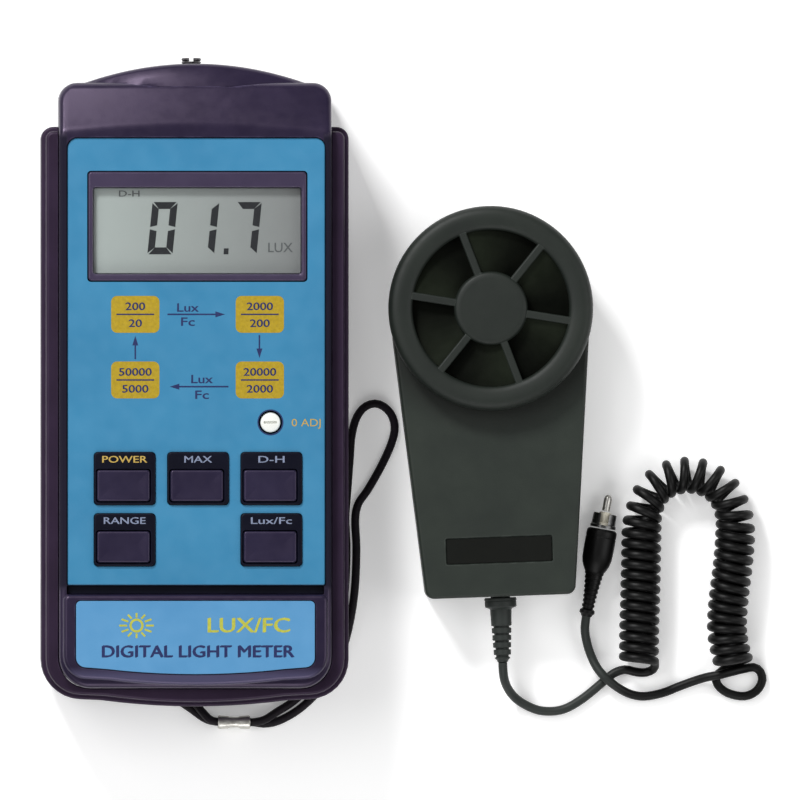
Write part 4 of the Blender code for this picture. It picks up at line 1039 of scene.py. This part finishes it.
def make_key_prints():
    z = KEY_FRAME_Z + 0.01
    words = {"power": "POWER", "max": "MAX", "hold": "D-H", "range": "RANGE", "unit": "Lux/Fc"}
    widths = {"power": 11.4, "max": 7.0, "hold": 6.6, "range": 10.6, "unit": 10.4}
    pale = []
    for name, x, y in key_places():
        print_y = y + KEY_FRAME[1] / 2 - 2.0
        marks = letters(words[name], x, print_y, 1.75, z, widths[name], 0.04)
        if name == "power":
            show("power_word", marks, "ink_gold")
        else:
            pale.append(marks)
    show("key_words", merged(*pale), "ink_pale")


SUN_AT = (-15.0, -61.2)


def make_name_prints():
    z = NAME_Z + 0.01
    show("name_words", letters("DIGITAL LIGHT METER", 0.7, -67.7, 3.1, z, 48.8, 0.15), "ink_navy")
    rays = []
    sun_x, sun_y = SUN_AT
    for index in range(12):
        turn = 2 * math.pi * index / 12
        x, y = math.cos(turn), math.sin(turn)
        rays.append(bar(sun_x + 2.4 * x, sun_y + 2.0 * y, sun_x + 4.4 * x, sun_y + 3.2 * y, 0.5, z))
    sun = print_ring(*SUN_AT, 1.8, 1.2, z)
    show("sun_mark", merged(sun, *rays), "ink_lime")
    show("lux_word", letters("LUX/FC", 13.6, -61.0, 3.8, z, 20.8, 0.13), "ink_lime")


SEGMENTS = {"0": "abcdef", "1": "bc", "7": "abc"}


def digit(kind, x, y, width, height, z):
    """Seven-segment digit whose lower left corner is at x, y before it is slanted."""
    stroke, gap, lean = 1.75, 0.30, 0.10
    half = height / 2
    rows = {"a": (height, height - stroke), "d": (0.0, stroke)}
    shapes = []
    for part in SEGMENTS[kind]:
        if part in rows:
            far, near = rows[part]
            points = [(gap, far), (width - gap, far), (width - stroke, near), (stroke, near)]
        else:
            side = 0 if part in "ef" else width
            turn = 1 if side == 0 else -1
            low, high = (gap, half - gap) if part in "ce" else (half + gap, height - gap)
            end = stroke * 0.85
            start = low + (end if low < 1 else stroke * 0.25)
            stop = high - (end if high > height - 1 else stroke * 0.25)
            points = [(side, low), (side + turn * stroke, start), (side + turn * stroke, stop),
                      (side, high)]
        shapes.append(thin([(x + px + lean * py, y + py) for px, py in points], z))
    return merged(*shapes)


def make_display_prints():
    z = DISPLAY_GLASS_Z + 0.02
    base = 33.3
    width, height = 6.4, 13.3
    shapes = [digit("0", -12.2, base, width, height, z), digit("1", -1.6, base, width, height, z),
              digit("7", 9.2, base, width, height, z),
              thin([(7.2, base), (8.4, base), (8.5, base + 1.5), (7.3, base + 1.5)], z)]
    show("display_digits", merged(*shapes), "ink_segment")
    words = merged(letters("LUX", 21.7, 35.1, 2.5, z, 6.2, 0.03),
                   letters("D-H", -16.8, 48.8, 1.6, z, 5.2, 0.03))
    show("display_words", words, "ink_word")


# ---------------------------------------------------------------- meter: socket, fasteners, feet and crimp

SOCKET_X, SOCKET_END = -0.85, 83.4
SCREW_AT = ((-29.6, 58.5), (29.6, 58.5), (-29.6, -58.5), (29.6, -58.5))
FOOT_AT = ((-27.0, 70.0), (27.0, 70.0), (-28.5, -49.5), (28.5, -49.5))
CRIMP_AT, CRIMP_LENGTH = (10.3, -86.1), 8.2
PROBE_SCREW_Y = 20.9, -50.0


def make_socket():
    """Plated collar with fine rings in place of its thread, and a slot across its end."""
    profile = [(1.75, 0.0), (2.25, 0.0), (2.5, -0.25)]
    for turn in range(7):
        start = -0.5 - 0.7 * turn
        profile += [(2.5, start), (2.3, start - 0.25), (2.3, start - 0.4), (2.5, start - 0.65)]
    profile += [(2.5, -14.4), (1.75, -14.4)]
    slot = prism(centred(1.1, 8.0, 0, 0, 0.05), -0.9, 2.0)
    collar = carved(lathe(profile, 40), [slot])
    place = shift(SOCKET_X, SOCKET_END, SPLIT_Z) @ ALONG_Y
    show("socket_collar", moved(collar, place), "metal_dark", "probe_socket")


def crosshead(head, sides, length, width, depth):
    """Turned screw with a cross cut into its head, which faces down."""
    cross = [prism(centred(*size, 0, 0, 0.05), -1, depth) for size in ((length, width), (width, length))]
    return carved(lathe(head, sides), cross)


def make_fasteners_and_feet():
    head = [(0, 0), (2.2, 0), (2.7, 0.5), (2.7, 1.5), (1.3, 1.7), (1.3, 23.3), (0.9, 24.0), (0, 24.0)]
    for index, (x, y) in enumerate(SCREW_AT, 1):
        screw = moved(crosshead(head, 32, 3.0, 0.6, 0.8), shift(x, y, REAR_Z + 0.5))
        show(f"case_screw_head_{index}", screw, "steel", f"case_screw_{index}")
    sole = [(0, 0), (3.2, 0), (3.7, 0.15), (4.0, 0.6), (4.0, REAR_Z + 0.6), (0, REAR_Z + 0.6)]
    for index, (x, y) in enumerate(FOOT_AT, 1):
        show(f"round_foot_{index}", moved(lathe(sole), shift(x, y, 0)), "rubber", f"foot_{index}")


def make_battery_door():
    """Sliding door with six grooves for the thumb."""
    low = REAR_Z + 0.1
    door = solid(centred(30.4, 54.4, 0, -39.2, 1.0), soft_bottom(low, 0.25, 2) + [(0, low + 1.2)])
    grooves = [prism(centred(14.0, 0.9, 0, -20.0 - 1.9 * i, 0.4), low - 1, low + 0.5) for i in range(6)]
    show("door", carved(door, grooves), "casing", "battery_door", "battery_cover")


def make_crimp():
    """Flattened metal sleeve, pinched in the middle, round both strands."""
    rings = []
    width, height = 3.3, 5.7
    stations = [(-0.5, 0.0), (-0.46, -0.12), (-0.2, 0.0), (-0.12, 0.28), (0.12, 0.28), (0.2, 0.0),
                (0.46, -0.12), (0.5, 0.0)]
    outer = centred(width, height, 0, 0, 1.5, 6)
    inner = centred(width - 0.6, height - 0.6, 0, 0, 1.2, 6)
    for share, pinch in stations:
        rings.append([(share * CRIMP_LENGTH, p.x, p.y) for p in outer(pinch)])
    for share, _ in (stations[-1], stations[0]):
        rings.append([(share * CRIMP_LENGTH, p.x, p.y) for p in inner(0)])
    place = shift(*CRIMP_AT, height / 2 + 0.05)
    return show("crimp", moved(skin(rings, loop=True), place), "metal", "strap_crimp")


# ---------------------------------------------------------------- probe

def probe_outline(inset):
    """Round head that tapers to the cord end."""
    radius = 24.8 - inset
    head = [math.radians(-6 + 192 * i / 48) for i in range(49)]
    outline = [Vector((radius * math.cos(a), radius * math.sin(a))) for a in head]
    shoulder, foot, end = 25.0 - inset, 19.0 - inset, PROBE_END + inset
    corner = max(2.3 - inset * 0.6, 0.4)
    lower = rounded([(-shoulder, -7.0, 0), (-foot, end, corner), (foot, end, corner),
                     (shoulder, -7.0, 0)], 6)
    return outline + lower


def grip_bore():
    return bore(2.9, 4, 24, 0, PROBE_END, PROBE_SPLIT_Z)


def make_probe_shells():
    low = PROBE_SPLIT_Z + PARTING
    front = slab(probe_outline, low, PROBE_TOP_Z, 0.9, 5)
    spigot = slab(disc(0, 0, 21.6, 64), PROBE_TOP_Z - 1, PROBE_TOP_Z + 1.8, 0.2, 2)
    label = centred(*LABEL_SIZE, 0, LABEL_Y, 0.5)
    cuts = [solid(probe_outline, [(1.6, low - 2), (1.6, PROBE_TOP_Z - 1.6)]),
            prism(disc(0, 0, 17.4, 64), low - 2, PROBE_TOP_Z + 5),
            solid(label, [(0, PROBE_TOP_Z - 0.8), (0, PROBE_TOP_Z - 0.15), (-0.2, PROBE_TOP_Z + 0.05),
                          (-0.2, PROBE_TOP_Z + 3)]),
            grip_bore()]
    show("probe_top", carved(front, cuts, [spigot]), "probe_front", "probe_front_shell", "probe",
         PROBE_PLACE)
    rear = solid(probe_outline, soft_bottom(0.0, 1.2, 5) + [(0, PROBE_SPLIT_Z - PARTING)])
    cuts = [solid(probe_outline, [(1.6, 1.6), (1.6, PROBE_SPLIT_Z + 2)]), grip_bore()]
    for y in PROBE_SCREW_Y:
        cuts.append(prism(disc(0, y, 2.05, 32), -1, 1.8))
    show("probe_base", carved(rear, cuts), "probe", "probe_rear_shell", "probe", PROBE_PLACE)
    plate = slab(centred(LABEL_SIZE[0] - 0.5, LABEL_SIZE[1] - 0.5, 0, LABEL_Y, 0.4), 16.5, 16.85, 0.1, 2)
    show("probe_plate", plate, "label_black", "probe_label", "probe", PROBE_PLACE)


def cap_body():
    top = CAP_TOP
    profile = [(0, 19.4), (22.2, 19.4), (22.2, CAP_LOW), (25.5, CAP_LOW), (CAP_RADIUS, CAP_LOW + 0.6),
               (CAP_RADIUS, top - 2.4), (25.9, top - 1.5), (25.5, top - 0.8), (24.9, top - 0.3),
               (24.0, top - 0.03), (23.0, top), (21.6, top - 0.12), (20.7, top - 0.42), (20.2, top - 0.85),
               (CAP_OPENING, top - 1.4), (CAP_OPENING, CAP_FLOOR), (HUB_RADIUS, CAP_FLOOR),
               (HUB_RADIUS, top - 1.0), (9.1, top - 0.45), (8.6, top - 0.15), (7.6, top - 0.05), (0, top)]
    return lathe(profile, 96)


def well_ramp(turn):
    """Floor of one well, which rises gently from one spoke to the next."""
    span = 2 * math.pi / SPOKES
    rings = []
    for step in range(9):
        angle = turn + span * step / 8
        rise = CAP_FLOOR - 0.15 + 2.2 * (step / 8) ** 1.6
        x, y = math.cos(angle), math.sin(angle)
        inner, outer = HUB_RADIUS + 0.02, CAP_OPENING - 0.02
        rings.append([(inner * x, inner * y, CAP_FLOOR + 0.02), (outer * x, outer * y, CAP_FLOOR + 0.02),
                      (outer * x, outer * y, rise + 0.2), (inner * x, inner * y, rise + 0.2)])
    return skin(rings)


def make_cap():
    spokes, ramps = [], []
    for index in range(SPOKES):
        turn = SPOKE_START - PROBE_TURN + 2 * math.pi * index / SPOKES
        length = CAP_OPENING - HUB_RADIUS + 1.6
        bar_body = slab(centred(length, SPOKE_WIDTH, (CAP_OPENING + HUB_RADIUS) / 2, 0, 0.05),
                        CAP_FLOOR - 0.5, CAP_TOP - 0.6, 0.45, 4)
        spokes.append(moved(bar_body, Matrix.Rotation(turn, 4, "Z")))
        ramps.append(well_ramp(turn))
    cap = carved(cap_body(), joins=spokes)
    show("vaned_cap", cap, "probe_cap", "probe_cap", "cap", PROBE_PLACE)
    # The well floors are a separate dark piece: painted shade in the cap's wells.
    show("well_floors", merged(*ramps), "well", None, "cap", PROBE_PLACE)


def make_diffuser():
    crown, edge = 19.0, 16.8
    dome = [(17.0 * math.cos(a), edge + (crown - edge) * math.sin(a))
            for a in [math.pi / 2 * i / 12 for i in range(13)]]
    profile = [(0, 14.2), (18.0, 14.2), (18.0, 15.1), (17.0, 15.1)] + dome
    show("diffuser", lathe(profile, 72), "white", "diffuser_dome", "probe", PROBE_PLACE)


def make_cord_grip():
    """Strain relief: stepped flange and a run of rings that lets the cord bend."""
    profile = [(0, 3.6), (4.0, 3.6), (4.0, 2.2), (2.5, 2.2), (2.5, -0.3), (3.9, -0.3), (4.1, -0.5),
               (4.1, -1.0), (3.95, -1.15), (4.05, -1.3), (4.05, -2.5), (3.8, -2.8), (3.1, -3.0),
               (2.75, -3.3), (2.65, -6.0)]
    for rib in range(5):
        start = -6.2 - 1.85 * rib
        radius = 2.62 - 0.1 * rib
        profile += [(radius, start), (radius, start - 1.15), (radius - 0.1, start - 1.3),
                    (radius - 0.6, start - 1.35), (radius - 0.6, start - 1.75)]
    profile += [(2.0, -15.6), (1.9, -15.9), (1.5, -16.2), (1.3, -16.7), (0, -16.7)]
    place = shift(0, PROBE_END, PROBE_SPLIT_Z - 0.2) @ ALONG_Y
    return show("strain_relief", moved(lathe(profile, 40), place), "cord_grey", "cord_grip", "probe",
                PROBE_PLACE)


def make_probe_screws():
    head = [(0, 0), (1.5, 0), (1.8, 0.3), (1.8, 1.1), (1.1, 1.3), (1.1, 13.0), (0.7, 13.6), (0, 13.6)]
    for index, y in enumerate(PROBE_SCREW_Y, 1):
        screw = moved(crosshead(head, 24, 2.2, 0.5, 0.6), shift(0, y, 0.3))
        show(f"probe_screw_head_{index}", screw, "steel", f"probe_screw_{index}", "probe", PROBE_PLACE)


# ---------------------------------------------------------------- plug

def make_plug():
    """Round plug: ribbed boot, body, split shell, insulator and pin, laid along its own +Y."""
    body = [(0, -0.7), (1.3, -0.7), (1.5, -0.2), (1.95, 0.2), (1.95, 0.9), (1.6, 1.2)]
    for rib in range(8):
        start, radius = 1.4 + 1.2 * rib, 1.62 + 0.04 * rib ** 1.55
        body += [(radius - 0.25, start), (radius - 0.25, start + 0.35), (radius, start + 0.45),
                 (radius, start + 1.0)]
    body += [(2.55, 11.0), (3.0, 11.8), (3.5, 12.9), (3.78, 14.2), (3.88, 15.8), (3.9, 19.6), (3.78, 19.8),
             (3.9, 20.0), (3.9, 21.2), (3.7, 21.7), (3.3, 22.0), (0, 22.0)]
    petals = lathe([(2.65, 22.3), (3.3, 22.3), (3.3, 23.0), (3.1, 23.2), (3.05, 25.4), (2.95, 26.0),
                    (2.65, 26.0)], 40)
    slots = [prism(centred(2.2, 8.0, 0, 0, 0.05), 23.0, 28.0),
             prism(centred(8.0, 0.7, 0, 0, 0.05), 23.6, 28.0)]
    core = [(0, 22.3), (2.3, 22.3), (2.3, 23.6), (1.55, 23.8), (1.5, 26.2), (1.3, 26.4), (0, 26.4)]
    tip = [(0, 26.7), (1.03, 26.7), (1.03, 29.7), (0.96, 30.1), (0.78, 30.5), (0.5, 30.8), (0, 30.9)]
    parts = [
        ("plug_boot", lathe(body, 40), "cord", "plug_body"),
        ("plug_petals", carved(petals, slots), "steel", "plug_shell"),
        ("plug_core", lathe(core, 32), "insulator", "plug_insulator"),
        ("plug_tip", lathe(tip, 28), "metal", "plug_pin"),
    ]
    return [show(name, moved(shell, ALONG_Y), look, node, "probe", PLUG_PLACE)
            for name, shell, look, node in parts]


# ---------------------------------------------------------------- floor and light

FLOOR_SIZE, FLOOR_Z = 3.0, -0.00005      # metres; a hair under the pieces that lie on it


def make_floor():
    shell = bmesh.new()
    bmesh.ops.create_grid(shell, x_segments=1, y_segments=1, size=FLOOR_SIZE)
    mesh = mesh_of(shell, "floor")
    floor = placed("floor", mesh)
    floor.location.z = FLOOR_Z
    look = bpy.data.materials.new("floor")
    look.use_nodes = True
    settings = {"Base Color": (0.97, 0.97, 0.97, 1), "Roughness": 0.9,
                "Emission Color": (1, 1, 1, 1), "Emission Strength": 0.24}
    for name, value in settings.items():
        look.node_tree.nodes["Principled BSDF"].inputs[name].default_value = value
    mesh.materials.append(look)


def softbox(name, at, size, watts):
    """Square area light that looks at the middle of the objects."""
    light = bpy.data.lights.new(name, "AREA")
    light.size = size
    light.energy = watts
    lamp = placed(name, light)
    lamp.location = METER + Vector(at)
    aim = METER + Vector((VIEW_AT[0] * MM, VIEW_AT[1] * MM, 0)) - lamp.location
    lamp.rotation_euler = aim.to_track_quat("-Z", "Y").to_euler()


def make_light():
    softbox("key", (-0.50, 0.20, 0.80), 0.60, 3.0)
    softbox("slope", (-0.32, 0.68, 0.64), 0.20, 7.2)
    softbox("fill", (0.75, 0.00, 0.62), 0.60, 2.5)
    softbox("front", (0.00, -0.78, 0.62), 0.60, 3.5)
    world = bpy.data.worlds.new("studio")
    world.use_nodes = True
    world.node_tree.nodes["Background"].inputs["Color"].default_value = (1, 1, 1, 1)
    world.node_tree.nodes["Background"].inputs["Strength"].default_value = 0.17
    bpy.context.scene.world = world
    bpy.context.scene.view_settings.view_transform = "Standard"


# ---------------------------------------------------------------- everything

make_camera()
make_looks()
cord, cord_points = make_cord()
strap, strap_points = make_strap()
crimp = make_crimp()
relief = make_cord_grip()
plug = make_plug()
dress_nodes()
make_front_case()
make_rear_case()
make_guard()
make_panels()
make_display()
make_keys()
make_zero_adjuster()
make_panel_prints()
make_key_prints()
make_name_prints()
make_display_prints()
make_socket()
make_fasteners_and_feet()
make_battery_door()
make_probe_shells()
make_cap()
make_diffuser()
make_probe_screws()
make_floor()
make_light()
